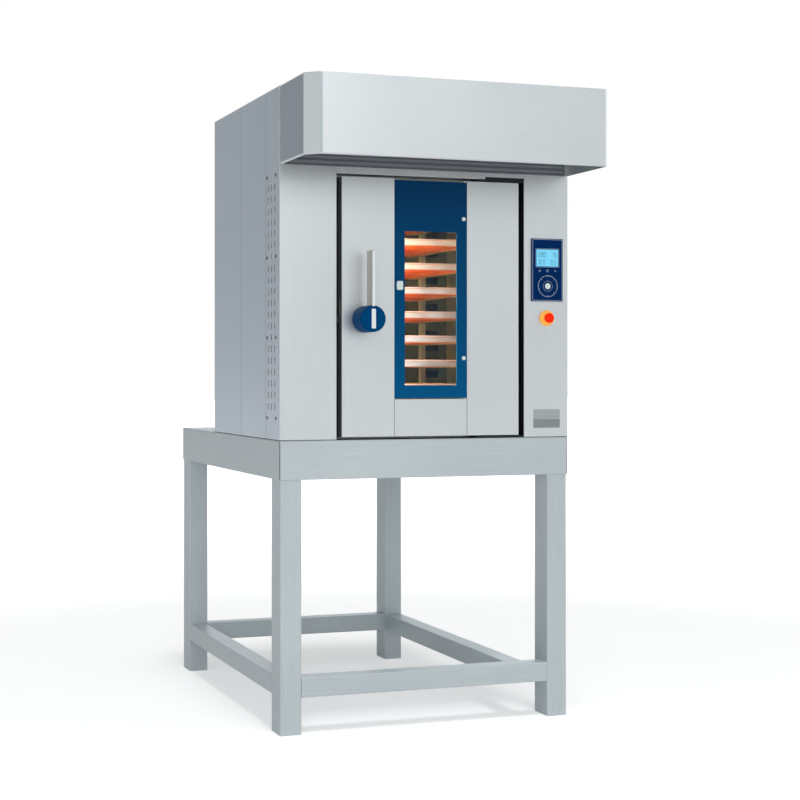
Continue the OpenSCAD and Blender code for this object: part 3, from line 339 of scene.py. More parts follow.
low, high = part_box("blank_plate")
middle = (low.z + high.z)/2 - 2*MM
g = finish("plate_grey")
dark_half = g.math("LESS_THAN", g.add("SeparateXYZ", {0: g.place}).outputs[2], middle)
lines = g.noise((6, 1, 700), 1.0, 2)
streaks = g.spread(lines, 0, 1)
g.close({
    "Base Color": g.mix(dark_half, g.mix(streaks, lin(158, 165, 167), lin(174, 181, 183)),
                        g.mix(streaks, lin(130, 137, 140), lin(142, 149, 152))),
    "Metallic": 0.4,
    "Roughness": 0.42,
    "Normal": g.bump(lines, 0.05, 0.0003),
})
print("plate is dark below", round(middle, 4))

# %% [markdown]
# Sprayed paint dries with a faint orange peel, a soft waviness 2 mm across; moulded plastic has a finer,
# duller grain. Both are the same graph with other numbers. The stop button's two colours are so strong that
# they are given a small glow of their own: no paint that only reflects reaches them under soft light.

# %% Paints, plastics, rubber and wool
def coated(name, colour, rough=0.3, peel=450, strength=0.05, contrast=0.03, specular=0.5, glow=(0, 0, 0, 1),
           glow_strength=0.0):
    """A dielectric: fine noise for the skin, slow noise for a hint of uneven colour."""
    g = finish(name)
    skin = g.noise((1, 1, 1), peel, 2)
    slow = g.spread(g.noise((1, 1, 1), 7, 2), 0, 1)
    g.close({
        "Base Color": g.mix(slow, shade(colour, 1 - contrast), shade(colour, 1 + contrast)),
        "Roughness": g.spread(skin, rough - 0.04, rough + 0.04),
        "Specular IOR Level": specular,
        "Normal": g.bump(skin, strength, 0.0004),
        "Emission Color": glow,
        "Emission Strength": glow_strength,
    })


coated("blue_plastic", lin(0, 68, 118), 0.42, 900, 0.04, specular=0.015)
coated("white_plastic", lin(226, 240, 236), 0.3, 900, 0.03)
coated("stop_red", lin(255, 40, 12), 0.34, 900, 0.03, specular=0.06, glow=lin(255, 40, 12),
       glow_strength=0.22)
coated("stop_yellow", lin(255, 190, 92), 0.36, 900, 0.03, specular=0.06, glow=lin(255, 170, 70),
       glow_strength=0.18)
coated("black_steel", lin(26, 29, 33), 0.38, 500, 0.06, specular=0.3)
# Dark grey for the louvred sheet inside the hood: painted shade of the hood's inside.
coated("louvre_painted_shade", lin(114, 119, 127), 0.42, 500, 0.06, specular=0.3)
coated("motor_paint", lin(60, 90, 125), 0.35, 450, 0.08)
coated("seal_rubber", lin(24, 27, 33), 0.62, 1200, 0.1, specular=0.12)
coated("mineral_wool", lin(206, 198, 156), 0.95, 350, 0.8, 0.12, specular=0.1)
coated("gland_plastic", lin(52, 54, 58), 0.45, 900, 0.06, specular=0.3)
coated("panel_film", lin(0, 42, 96), 0.3, 1400, 0.03, specular=0.03)
coated("dial_film", lin(0, 42, 94), 0.28, 1400, 0.03, specular=0.04)
coated("print_pale", lin(206, 222, 232), 0.4, 1400, 0.02)
coated("print_dark", lin(38, 74, 96), 0.4, 1400, 0.02)
# A near-white for the handle: painted highlight on the blade's front face and on its line in the hub.
coated("painted_highlight", lin(236, 240, 242), 0.3, 900, 0.02)
print("finishes", len(FINISH))

# %% [markdown]
# The outer pane is clear glass printed in blue from behind, deeper at the top than at the bottom. Its
# clear middle is another matter: real glass bends light, but a thin pane mostly lets it through and adds a
# faint mirror. Letting part of the light straight through (alpha) shows the chamber without the noise of a
# refracting slab, and it survives the export.

# %% Glasses and lights
low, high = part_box("pane_border")
g = finish("blue_glass")
height = g.add("SeparateXYZ", {0: g.place}).outputs[2]
rise = g.spread(height, 0, 1, low.z, high.z)
cloud = g.math("MULTIPLY", g.noise((1, 1, 1), 5, 2), 0.12)
g.close({
    "Base Color": g.mix(g.math("ADD", rise, cloud), lin(0, 87, 137), lin(0, 58, 101)),
    "Roughness": g.spread(g.noise((1, 1, 1), 60, 2), 0.08, 0.14),
    "Specular IOR Level": 0.05,
})

g = finish("clear_glass")
glass_tint = lin(40, 66, 84)
smears = g.noise((1, 1, 1.5), 6, 3)
g.close({
    "Base Color": g.mix(g.spread(smears, 0, 1), shade(glass_tint, 0.92), shade(glass_tint, 1.05)),
    "Roughness": g.spread(smears, 0.03, 0.08),
    "Alpha": g.spread(smears, 0.07, 0.12),
    "Specular IOR Level": 0.2,
})


def lit(name, colour, strength):
    """A glowing face: the colour is both reflected and given off, with a slow noise in the glow."""
    g = finish(name)
    uneven = g.spread(g.noise((1, 1, 1), 30, 2), 0, 1)
    g.close({
        "Base Color": shade(colour, 0.5),
        "Roughness": 0.2,
        "Specular IOR Level": 0.15,
        "Emission Color": g.mix(uneven, shade(colour, 0.93), colour),
        "Emission Strength": strength,
    })


lit("display", lin(122, 212, 245), 0.66)
lit("lamp_glass", lin(255, 170, 80), 5.0)
print("finishes", len(FINISH))

# %% [markdown]
# ## Surfaces from numbers
# A few small functions make nearly every piece. An outline is a rounded rectangle or a circle as an array
# of points. A stack repeats an outline at many heights, drawn in a little at each, which is how a pan, a
# tube, a key or a lens is described. A ring of faces then joins each outline to the next.

# %% Outlines, stacks and shells
def rounded(a0, a1, b0, b1, radius, inset, steps=4):
    """The outline from (a0, b0) to (a1, b1), once for every inset that it is drawn in by. Each corner is a
    quarter circle: centre + (radius - inset) * (cos, sin)."""
    inset = np.atleast_1d(np.asarray(inset, float))[:, None, None]
    angle = np.radians(90*np.arange(4)[:, None] + np.linspace(0, 90, steps + 1))[None]
    bend = np.maximum(radius - inset, 1e-5)
    sign_a, sign_b = (np.array(signs)[None, :, None] for signs in ([-1, 1, 1, -1], [-1, -1, 1, 1]))
    centre_a = np.array([a1, a0, a0, a1])[None, :, None] + sign_a*(inset + bend)
    centre_b = np.array([b1, b1, b0, b0])[None, :, None] + sign_b*(inset + bend)
    a, b = centre_a + bend*np.cos(angle), centre_b + bend*np.sin(angle)
    return np.stack([a, b], -1).reshape(len(inset), -1, 2)


def circle(centre_a, centre_b, radius, count=48):
    """centre + radius * (cos, sin) for every radius."""
    radius = np.atleast_1d(np.asarray(radius, float))[:, None]
    angle = np.linspace(0, 2*np.pi, count, endpoint=False)[None]
    return np.stack([centre_a + radius*np.cos(angle), centre_b + radius*np.sin(angle)], -1)


def facing(outlines, heights, way):
    """Outline (a, b) and height h on the frame's axes: up is (a, b, h), front (a, -h, b), left (-h, -a, b),
    right (h, a, b) and back (-a, h, b)."""
    a, b = outlines[..., 0], outlines[..., 1]
    h = np.broadcast_to(np.asarray(heights, float)[:, None], a.shape)
    return np.stack({"up": (a, b, h), "front": (a, -h, b), "left": (-h, -a, b),
                     "right": (h, a, b), "back": (-a, h, b)}[way], -1)


def shell(rings, first=True, last=True, loop=False):
    """Point j of ring i is number i*n + j; a face joins j and j+1 of one ring to the same of the next.
    A loop joins the last ring to the first, as round a hoop, and has no caps."""
    m, n = rings.shape[:2]
    i, j = np.meshgrid(np.arange(m if loop else m - 1), np.arange(n), indexing="ij")
    k, l = (i + 1) % m, (j + 1) % n
    quads = np.stack([i*n + j, i*n + l, k*n + l, k*n + j], -1).reshape(-1, 4)
    caps = ([np.arange(n)[::-1]] if first and not loop else []) + (
        [(m - 1)*n + np.arange(n)] if last and not loop else [])
    return rings.reshape(-1, 3), quads, caps


def plate(low, high):
    """A flat sheet that fills the box between two corners."""
    low, high = np.minimum(low, high), np.maximum(low, high)
    outline = np.array([[[low[0], low[1]], [high[0], low[1]], [high[0], high[1]], [low[0], high[1]]]]*2)
    return shell(facing(outline, [low[2], high[2]], "up"))


def quarter(radius, count=5):
    """A quarter circle as (inset, drop) pairs, from the side of an edge to its top."""
    angle = np.linspace(0, np.pi/2, count)
    return radius*(1 - np.cos(angle)), radius*(1 - np.sin(angle))


def soft_box(a0, a1, b0, b1, h0, h1, way, corner, edge, both=False):
    """A box with rounded corners whose top edge, or both edges, turn over in a quarter circle."""
    inset, drop = quarter(edge)
    insets, heights = [inset], [h1 - drop]
    if both:
        insets.insert(0, inset[::-1])
        heights.insert(0, h0 + drop[::-1])
    else:
        insets.insert(0, [0.0])
        heights.insert(0, [h0])
    insets, heights = np.concatenate(insets), np.concatenate(heights)
    return shell(facing(rounded(a0, a1, b0, b1, corner, insets), heights, way))


def turned(centre_a, centre_b, profile, way, count=64, ring=False):
    """A lathe piece: radius and height pairs, each radius a circle at its height. The profile of a ring is
    closed and leaves its middle open."""
    profile = np.array(profile, float)
    return shell(facing(circle(centre_a, centre_b, profile[:, 0], count), profile[:, 1], way), loop=ring)


def in_mm(profile, start):
    """Radius and height pairs in millimetres, as metres above a start."""
    return [(radius*MM, start + height*MM) for radius, height in profile]


def centre(low, high, *axes):
    """The middle of a box along each of these axes: 0 is x, 1 is y and 2 is z."""
    return tuple((low[k] + high[k])/2 for k in axes)


print("one soft box has", len(soft_box(0, 1, 0, 1, 0, 1, "up", 3*MM, 1*MM)[0]), "points")

# %% [markdown]
# A mesh becomes a piece of the oven when it rides on a body, stands for its solid and names its finish.
# Edges that stay crisp in the numbers can be eased with a Bevel, and an open sheet gets its thickness
# from Solidify. Weighted normals keep the flat faces beside a bevel flat to the eye.

# %% Making, easing and dressing
MADE = []


def settle(piece, finish, body, stands_for=(), slot=None, wall=0.0, ease=0.0, ease_angle=35, smooth=35):
    """Smooth faces with sharp folds, a wall, eased edges, finish, body and solids. The slot is not used."""
    mesh = piece.data
    mesh.polygons.foreach_set("use_smooth", np.ones(len(mesh.polygons), bool))
    mesh.set_sharp_from_angle(angle=math.radians(smooth))
    mesh.materials.clear()
    mesh.materials.append(FINISH[finish])
    if wall:
        thick = piece.modifiers.new("wall", "SOLIDIFY")
        thick.thickness, thick.offset = wall, -1
    if ease:
        bevel = piece.modifiers.new("ease", "BEVEL")
        bevel.width, bevel.segments = ease, 3
        bevel.limit_method, bevel.angle_limit = "ANGLE", math.radians(ease_angle)
    even = piece.modifiers.new("flats_stay_flat", "WEIGHTED_NORMAL")
    even.keep_sharp = True
    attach(piece, body)
    if stands_for:
        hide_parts(*stands_for)
    MADE.append(piece.name)
    return piece


def make(name, shells, finish, body, stands_for=(), closed=True, **more):
    """One mesh from many shells: each shell's point numbers are moved up by the points before it."""
    starts = np.cumsum([0] + [len(p) for p, _, _ in shells])
    faces = []
    for start, (_, quads, caps) in zip(starts, shells):
        faces += (quads + start).tolist() + [(c + start).tolist() for c in caps]
    mesh = bpy.data.meshes.new(name)
    mesh.from_pydata(np.concatenate([p for p, _, _ in shells]).tolist(), [], faces)
    if closed:
        work = bmesh.new()
        work.from_mesh(mesh)
        bmesh.ops.recalc_face_normals(work, faces=work.faces)
        work.to_mesh(mesh)
        work.free()
    piece = bpy.data.objects.new(name, mesh)
    scene.collection.objects.link(piece)
    return settle(piece, finish, body, stands_for, **more)


def eased(node, name, width, finish, body, **more):
    """The solid's own surface: equal points merged, flat faces joined, and every crisp edge rounded."""
    mesh = NODES[node].data.copy()
    mesh.name = name
    work = bmesh.new()
    work.from_mesh(mesh)
    bmesh.ops.remove_doubles(work, verts=work.verts, dist=1e-5)
    bmesh.ops.dissolve_limit(work, angle_limit=math.radians(1), verts=work.verts, edges=work.edges)
    work.to_mesh(mesh)
    work.free()
    piece = bpy.data.objects.new(name, mesh)
    scene.collection.objects.link(piece)
    return settle(piece, finish, body, (node,), ease=width, **more)


def dress(finish, *nodes):
    """The solid stays as it is and gets a finish in its material slots."""
    for node in nodes:
        for place in NODES[node].material_slots:
            place.material = FINISH[finish]


def span(node):
    """The node's box as two arrays."""
    low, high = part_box(node)
    return np.array(low), np.array(high)


FRONT = -span("left_column")[0][1]
print("the cabinet's front face stands", round(float(FRONT), 4), "m before the middle")

# %% [markdown]
# ## The stand
# Legs and stretchers are rectangular tubes. A tube's corner is never sharp, because the strip was bent
# round: its outline is a rounded rectangle, carried straight up or across. The feet are closed with a welded
# plate, so the outline draws in over the last two millimetres. The right rear leg and the right stretcher
# stand in from the corner, as in the picture. The apron is a strip folded round four corners, with a short
# lip turned in under it.

# %% Legs
low, high = span("stand_legs")
leg_w, leg_d, leg_inset, tube_r = 70*MM, 102*MM, 130*MM, 4*MM
left_x, right_x, rear_right_x = low[0], high[0] - leg_w, high[0] - leg_inset - leg_w
front_leg_y, rear_leg_y = low[1], high[1] - leg_d
inset, drop = quarter(1.5*MM, 4)
front_pair = (left_x, front_leg_y), (right_x, front_leg_y)
rear_pair = (left_x, rear_leg_y), (rear_right_x, rear_leg_y)
legs = []
for xa, ya in front_pair + rear_pair:
    rings = rounded(xa, xa + leg_w, ya, ya + leg_d, tube_r, np.r_[inset[::-1], 0.0])
    legs.append(shell(facing(rings, np.r_[low[2] + drop[::-1], high[2]], "up")))
make("legs", legs, "stand_paint", "oven", ["stand_legs"])
print("legs", len(legs), "height", round(high[2] - low[2], 3))

# %% Stretchers
low, high = span("stand_stretchers")
tube = 64*MM
runs = []
for ya, x_end in ((low[1], right_x), (high[1] - tube, rear_right_x)):
    rings = rounded(ya, ya + tube, low[2], high[2], tube_r, [0, 0])
    runs.append(shell(facing(rings, [left_x + leg_w, x_end], "right")))
for xa, y_start in ((left_x, front_leg_y + leg_d), (rear_right_x, front_leg_y + tube + 0.3*MM)):
    rings = rounded(-(xa + tube), -xa, low[2], high[2], tube_r, [0, 0])
    runs.append(shell(facing(rings, [y_start, rear_leg_y], "back")))
make("stretchers", runs, "stretcher_x", "oven", ["stand_stretchers"], slot="stand_paint")
print("stretchers", len(runs))

# %% Apron and top
low, high = span("stand_apron")
lip, fold = 14*MM, 2.5*MM
inset, drop = quarter(fold)
insets = np.r_[lip, inset[::-1], 0.0]
heights = np.r_[low[2], low[2] + drop[::-1], high[2]]
rings = rounded(low[0], high[0], low[1], high[1], 4*MM, insets)
make("apron", [shell(facing(rings, heights, "up"), False, False)], "stretcher_x", "oven", ["stand_apron"],
     closed=False, wall=2.7*MM, slot="stand_paint")
low, high = span("stand_top")
make("top_plate", [soft_box(low[0], high[0], low[1], high[1], low[2], high[2], "up", 4*MM, 1.5*MM, True)],
     "stretcher_x", "oven", ["stand_top"], slot="stand_paint")
print("apron from", round(heights[0], 3), "to", round(heights[-1], 3))

# %% [markdown]
# A fine dark line down each of the apron's front corners is painted shade, the shade of the fold, and the
# cabinet stands on a thin rubber strip that shows as another dark line.

# %% Dark lines at the corners and under the cabinet
apron_low, apron_high = span("stand_apron")
# Black rods down the apron's front corners: painted shade of the folds.
shade_line_r = 1.3*MM
seams_and_shade_lines = []
for sign in (-1, 1):
    xa, ya = sign*(apron_high[0] - 1.4*MM), apron_low[1] + 1.4*MM
    rings = facing(circle(xa, ya, [shade_line_r, shade_line_r], 12), [apron_low[2] + 1*MM, apron_high[2]], "up")
    seams_and_shade_lines.append(shell(rings))
make("apron_corner_shade", seams_and_shade_lines, "black_steel", "oven", slot="black_steel")
half_cabinet, proud, strip_w, strip_h = 500*MM, 0.4*MM, 2*MM, 1.6*MM
side_x = half_cabinet + proud
rear_y, strip_z = span("rear_panel")[1][1], span("stand_top")[1][2]
front_y, strip_top = -FRONT - proud, strip_z + strip_h
strips = [plate((-side_x, front_y, strip_z), (side_x, front_y + strip_w, strip_top))]
for sign in (-1, 1):
    outer, inner = sign*side_x, sign*(side_x - strip_w)
    strips.append(plate((outer, front_y + strip_w, strip_z), (inner, rear_y, strip_top)))
make("base_strip", strips, "seal_rubber", "oven", slot="seal_rubber")
print("strip height", round(strip_h/MM, 1), "mm")

# %% [markdown]
# ## The cabinet
# The side, rear and roof sheets are right as solids: flat steel, and they only need their finish. The
# slotted strip, the columns and the header show their edges to the camera, so their copies get a small bevel.

# %% Sheets of the cabinet
# The side sheets and the slotted strip get the darker steel: painted shade, not another metal.
dress("steel_side", "left_side_panels", "right_side_panels")
dress("galvanised", "rear_panel", "roof_panel", "heat_box_casing")
eased("left_vent_panel", "vent_panel", 0.5*MM, "steel_side", "oven")
eased("left_column", "column_left", 0.8*MM, "steel_body", "oven")
eased("control_column", "column_controls", 0.8*MM, "steel_body", "oven")
eased("door_header", "header", 0.8*MM, "steel_body", "oven")
print("pieces so far", len(MADE))

# %% [markdown]
# The screws on the side have low domed heads with a six-sided recess for a key. A head is a lathe piece:
# its profile rises from the sheet, rounds over and dips into the recess.

# %% Screws
low, high = span("panel_screws")
head_r, head_h = 6*MM, 1.2*MM
side_y = low[1] + head_r, high[1] - head_r
rows = np.linspace(low[2] + head_r, high[2] - head_r, 4)
head = [(6.0, -0.2), (6.0, 0.35), (5.4, 0.8), (4.2, 1.1), (2.9, 1.18), (2.5, 1.1), (2.4, -0.1)]
screws = []
for way, edge, side in (("left", -low[0] - head_h, -1), ("right", high[0] - head_h, 1)):
    for y in side_y:
        screws += [turned(side*y, z, in_mm(head, edge), way, 24) for z in rows]
make("screws", screws, "black_steel", "oven", ["panel_screws"])
print("screws", len(screws), "rows at", [round(float(z), 3) for z in rows])

# %% [markdown]
# ## The hood
# One strip of steel runs round three sides. Its left front corner is cut off widely, the right one by only
# a centimetre. The lower edge is rolled inwards and the upper edge folded to the top. That is a profile
# carried along a path. The corners of the path are mitred: a corner drawn in by s moves along the line that
# halves it, which for these cut-off corners is the same as making the cut k - s(2 - root 2) long.

# %% Hood
low, high = span("hood_shell")
front_y, cut, corner, roll, top_fold = low[1] + 0.7*MM, 41*MM, 10*MM, 5*MM, 3*MM
back_y = -FRONT - 8*MM


def hood_path(s):
    """The six corners of each outline, drawn in by the array s: a wide cut at the left, a small one at the
    right."""
    k, e = cut - s*(2 - math.sqrt(2)), np.maximum(corner - s*(2 - math.sqrt(2)), 0.2*MM)
    xa, ya, yb = low[0] + s, front_y + s, np.full_like(s, back_y)
    xs = np.stack([xa, xa, xa + k, -xa - e, -xa, -xa], 1)
    ys = np.stack([yb, ya + k, ya, ya, ya + e, yb], 1)
    return np.stack([xs, ys], -1)


angle = np.linspace(-np.pi/2, 0, 9)
roll_in, roll_up = roll*(1 - np.cos(angle)), roll*(1 + np.sin(angle))
fold_in, fold_down = quarter(top_fold)
insets = np.r_[roll_in, fold_in]
heights = np.r_[low[2] + roll_up, high[2] - fold_down]
rings = facing(hood_path(insets), heights, "up")
m, n = rings.shape[:2]
i, j = np.meshgrid(np.arange(m - 1), np.arange(n - 1), indexing="ij")
a = i*n + j
skirt = np.stack([a + n + 1, a + n, a, a + 1], -1).reshape(-1, 4)
lid = (m - 1)*n + np.arange(n)
hood = [(rings.reshape(-1, 3), skirt, [lid])]
make("hood", hood, "steel_hood", "oven", ["hood_shell"], closed=False, wall=2*MM, ease=2*MM, ease_angle=25,
     smooth=30)
print("hood faces", len(skirt), "reach", round(back_y - front_y, 3))

# %% [markdown]
# At its back the sheet turns inwards at both ends and stands on a frame of thin plates, which reaches to the
# cabinet and leaves the hood open below.

# %% Hood flange
outer_x, middle_x, inner_x = high[0] - 1*MM, high[0] - 12*MM, high[0] - 14*MM
flange_z = low[2] + 1*MM
flange = []
for sign in (-1, 1):
    flange.append(plate((sign*outer_x, back_y - 2*MM, flange_z), (sign*inner_x, back_y, high[2] - 2*MM)))
    flange.append(plate((sign*middle_x, back_y - 1*MM, flange_z), (sign*inner_x, -FRONT, high[2] - 1*MM)))
flange.append(plate((-middle_x, back_y - 1*MM, high[2] - 2*MM), (middle_x, -FRONT, high[2])))
make("hood_flange", flange, "steel_body", "oven", slot="steel_hood")
print("flange plates", len(flange))

# %% [markdown]
# The left end is a cap of its own, hooked over the front sheet: a narrow upright lip shows beside the cut
# corner. Cap and lip are steel darker than the hood's: painted shade of the hood's left end and of the step
# beside the cut. Inside, a louvred sheet on the cabinet's face draws off the steam; its dark grey is painted
# shade, the shade inside the hood. It is a wave carried across: depth = amplitude * cos(2 pi z / pitch).
# Seen from the front it is the dark band over the door.

# %% Cap lip and louvres
cap_z, cap_top = low[2] + roll, high[2] - 4*MM
lip_x = low[0] + cut
# The lip's darker steel is painted shade of the step beside the cut corner.
cap_lip = soft_box(lip_x - 1*MM, lip_x + 7*MM, cap_z, cap_top, -front_y - 0.2*MM, -low[1] - 0.05*MM, "front",
                   1*MM, 0.4*MM)
make("hood_cap_lip", [cap_lip], "steel_lip_painted_shade", "oven", slot="steel_hood")
# The cap's darker steel is painted shade of the hood's left end.
cap_x = low[0] - 0.1*MM
end_cap = plate((cap_x, front_y + cut + 1*MM, cap_z), (cap_x + 0.3*MM, back_y - 2*MM, cap_top))
make("hood_cap", [end_cap], "steel_cap_painted_shade", "oven", slot="steel_hood")
# The louvred sheet's dark grey is painted shade of the hood's inside.
pitch, amplitude, behind_wave = 16*MM, 1.4*MM, FRONT + 0.1*MM
z = np.linspace(low[2] + 1*MM, high[2] - 6*MM, 240)
wave = FRONT + 2.4*MM + amplitude*np.cos(2*np.pi*(z - z[0])/pitch)
side = np.stack([np.r_[wave, behind_wave, behind_wave], np.r_[z, z[-1], z[0]]], -1)
half_w = high[0] - 16*MM
ends = [np.stack([np.full(len(side), x), -side[:, 0], side[:, 1]], -1) for x in (-half_w, half_w)]
make("hood_louvres_painted_shade", [shell(np.array(ends))], "louvre_painted_shade", "oven", slot="black_steel")
print("louvres", round(float((z[-1] - z[0])/pitch), 1))

# %% [markdown]
# ## The door
# Two folded pans and a lower panel carry the outer pane between them. Their copies get a bevel of the
# sheet's own bending radius. The joints between them show as fine dark lines, and a small cover hides the
# upper hinge.

# %% Door skins and glass
eased("door_side_skins", "door_skins", 0.7*MM, "steel_body", "door")
eased("door_lower_panel", "door_foot_panel", 0.7*MM, "steel_body", "door")
eased("pane_border", "blue_pane", 0.8*MM, "blue_glass", "pane")
dress("clear_glass", "pane_window", "door_inner_glass")
dress("lining_steel", "door_inner_frame")
dress("mineral_wool", "door_core", "insulation")
dress("bare_steel", "door_hinge_blocks", "handle_rose")
# The latch keeper is black so that it sinks into the dark gap beside the door: painted shade.
dress("black_steel", "hinge_brackets", "latch_keeper", "latch_cam")
print("door skins and pane", MADE[-3:])

# %% Door seams and hinge cover
low, high = span("door_lower_panel")
seam_y, seam_back, half_seam = -FRONT - 0.2*MM, -FRONT + 1*MM, 0.6*MM
seams_and_shade_lines = [plate((x - half_seam, seam_y, low[2] + 1*MM), (x + half_seam, seam_back, high[2]))
         for x in (low[0], high[0])]
seams_and_shade_lines.append(plate((low[0], seam_y, high[2] - 0.4*MM), (high[0], seam_back, high[2] + 0.5*MM)))
make("door_seams", seams_and_shade_lines, "seal_rubber", "door", slot="seal_rubber")
low, high = span("hinge_brackets")
cover = soft_box(low[0] + 30*MM, high[0], high[2] - 6.5*MM, high[2] + 7.5*MM, FRONT - 1*MM, FRONT + 0.5*MM,
                 "front", 1*MM, 0.4*MM)
make("hinge_cover", [cover], "black_steel", "oven", slot="black_steel")
print("seams and cover", MADE[-2:])

# %% [markdown]
# The gaps left and right of the door look black. A black rubber sheet lines the jambs and the face behind
# the door's edges: painted shade, a dark sheet for the shade deep in the gaps. It is a plate on each jamb and
# one across its back, all under a millimetre thick.

# %% Black sheet in the jambs, painted shade
door_low, door_high = span("door_side_skins")
jamb_left, jamb_right = span("left_column")[1][0], span("control_column")[0][0]
bars_low, bars_high = span("hinge_brackets")
foot, top = bars_low[2] + 6.5*MM, bars_high[2] - 6.5*MM
deep = -FRONT + 59.8*MM
shade_lining = []
for jamb, door_edge, inward in ((jamb_left, door_low[0], 1), (jamb_right, door_high[0], -1)):
    face_x, under_x, end_x = jamb + inward*0.05*MM, jamb + inward*0.9*MM, door_edge + inward*10*MM
    shade_lining.append(plate((face_x, -FRONT + 5*MM, foot), (under_x, deep, top)))
    shade_lining.append(plate((under_x, deep - 0.7*MM, foot), (end_x, deep, top)))
make("jamb_shade_lining", shade_lining, "seal_rubber", "oven", slot="seal_rubber")
print("jamb lining height", round(float(top - foot), 3))

# %% [markdown]
# The seal is a rubber bulb: a round section carried round the door. Each point of the section is one outline
# of the door, drawn in by 5 mm + r cos t and lying at the depth r sin t.

# %% Seal
low, high = span("door_seal")
angle = np.linspace(0, 2*np.pi, 16, endpoint=False)
bulb_r = 4.7*MM
outline = rounded(low[0], high[0], low[2], high[2], 16*MM, 5*MM + bulb_r*np.cos(angle), 6)
depths = -(low[1] + high[1])/2 - bulb_r*np.sin(angle)
make("bulb_seal", [shell(facing(outline, depths, "front"), loop=True)], "seal_rubber", "door", ["door_seal"])
print("seal runs", round(2*(high[0] - low[0] + high[2] - low[2]), 2), "m")

# %% [markdown]
# The pane's catch and its two buttons are small white mouldings with soft edges. The buttons belong to the
# rail that the pane turns on.

# %% Catch and buttons
low, high = span("pane_catch")
glass = 6*MM
ca, cb = centre(low, high, 0, 2)
catch = [soft_box(low[0], high[0], low[2], high[2], FRONT, -low[1], "front", 4*MM, 2*MM)]
for radius, back, front in ((4.7*MM, FRONT - glass - 1*MM, FRONT), (9*MM, -high[1], FRONT - glass)):
    catch.append(turned(ca, cb, [(radius, back), (radius, front)], "front", 32))
make("catch", catch, "white_plastic", "pane", ["pane_catch"])
eased("pane_hinge", "pane_rail", 0.5*MM, "white_plastic", "pane")
print("catch", [round(float(v), 4) for v in high - low])

# %% [markdown]
# ## The handle
# A steel blade stands in a blue hub and shows again as a line in the hub's face, which tells the baker
# where the latch stands. Hub and blade keep the solids' shapes, with their edges eased. The blade's steel is
# darker and warmer than the cabinet's, painted shade of its left side, and a thin white sheet on its front
# face and on the line in the hub is a painted highlight.

# %% Handle
eased("handle_hub", "hub", 1.2*MM, "blue_plastic", "handle")
# The blade's darker, warmer steel is painted shade of its left side.
eased("handle_lever", "lever", 2.0*MM, "lever_steel_painted_shade", "handle", slot="steel_body")
low, high = span("handle_hub")
lever_low, lever_high = span("handle_lever")
middle_x, middle_z = (lever_low[0] + lever_high[0])/2, (low[2] + high[2])/2
half_line, half_w, proud = 31*MM, 7*MM, 0.3*MM
blade_face, hub_face = -lever_low[1], -low[1]
# A thin white sheet on the blade's front face: painted highlight.
blade = soft_box(lever_low[0] + 1*MM, lever_high[0] - 1*MM, high[2] - 3*MM, lever_high[2] - 2*MM,
                 blade_face - proud, blade_face + proud, "front", 2*MM, 0.2*MM)
make("lever_front_highlight", [blade], "painted_highlight", "handle", slot="steel_body")
# The line in the hub's face, white with the same painted highlight.
line = soft_box(middle_x - half_w, middle_x + half_w, middle_z - half_line, middle_z + half_line,
                hub_face - proud, hub_face + proud, "front", 2*MM, 0.2*MM)
make("hub_line_highlight", [line], "painted_highlight", "handle", slot="steel_body")
print("handle pieces", MADE[-4:])

# %% [markdown]
# ## Inside the chamber
# A baking tray is a shallow pan with a rolled rim. Its profile is a list of insets and heights in
# millimetres: along the inside of the floor, up the sloping wall, three quarters round the curl of the rim
# and back along the outside. The same profile goes round all nine trays.

# %% Trays
low, high = span("baking_trays")
tray_pitch, levels = 80.6*MM, 9
tray_z = low[2] + tray_pitch*np.arange(levels)
curl, curl_r, curl_z = np.linspace(0, 1.5*np.pi, 10), 2.4, 20.6
inner = np.array([(150, 1.3), (20, 1.3), (14, 1.9), (10.4, 4.6), (6.4, 18)])
rim = np.stack([curl_r + curl_r*np.cos(curl), curl_z + curl_r*np.sin(curl)], -1)
outer = np.array([(5.0, 17.4), (9.2, 4.0), (13.2, 0.6), (20, 0.0), (150, 0.0)])
profile = np.concatenate([inner, rim, outer])*MM
outline = rounded(low[0], high[0], low[1], high[1], 26*MM, profile[:, 0], 6)
pans = [shell(facing(outline, z + profile[:, 1], "up")) for z in tray_z]
make("trays", pans, "tray_metal", "rack", ["baking_trays"])
print("trays", len(pans), "from", round(float(tray_z[0]), 3), "to", round(float(tray_z[-1]), 3))

# %% [markdown]
# The rack's square tubes and the chamber's mouth catch light on their edges, so their copies get a bevel.
# What is behind them only needs its finish.

# %% Rack, lining and fan room
eased("rack_frame", "rack", 1.2*MM, "lining_steel", "rack")
dress("lining_steel", "tray_runners", "chamber_lining")
# The baffle's dark green-grey is painted shade of the chamber's back.
dress("baffle_painted_shade", "air_baffle")
eased("chamber_front_frame", "mouth_frame", 1.0*MM, "lining_steel", "oven")
dress("bare_steel", "rack_shaft", "fan_wheel", "steam_pipe")
dress("bearing_bronze", "rack_bearings")
dress("motor_paint", "rack_gearmotor", "fan_motor")
dress("heater_steel", "heating_rings")
print("rack and mouth", MADE[-2:])

# %% [markdown]
# The chamber's lamp sits in the left wall: a ribbed glass in a steel ring, with a black holder behind. The
# glass is a lathe piece, and its profile is a shallow dome with a ripple on it:
# height = rise (1 - (r/R)^2) + ripple cos(12 pi r/R).

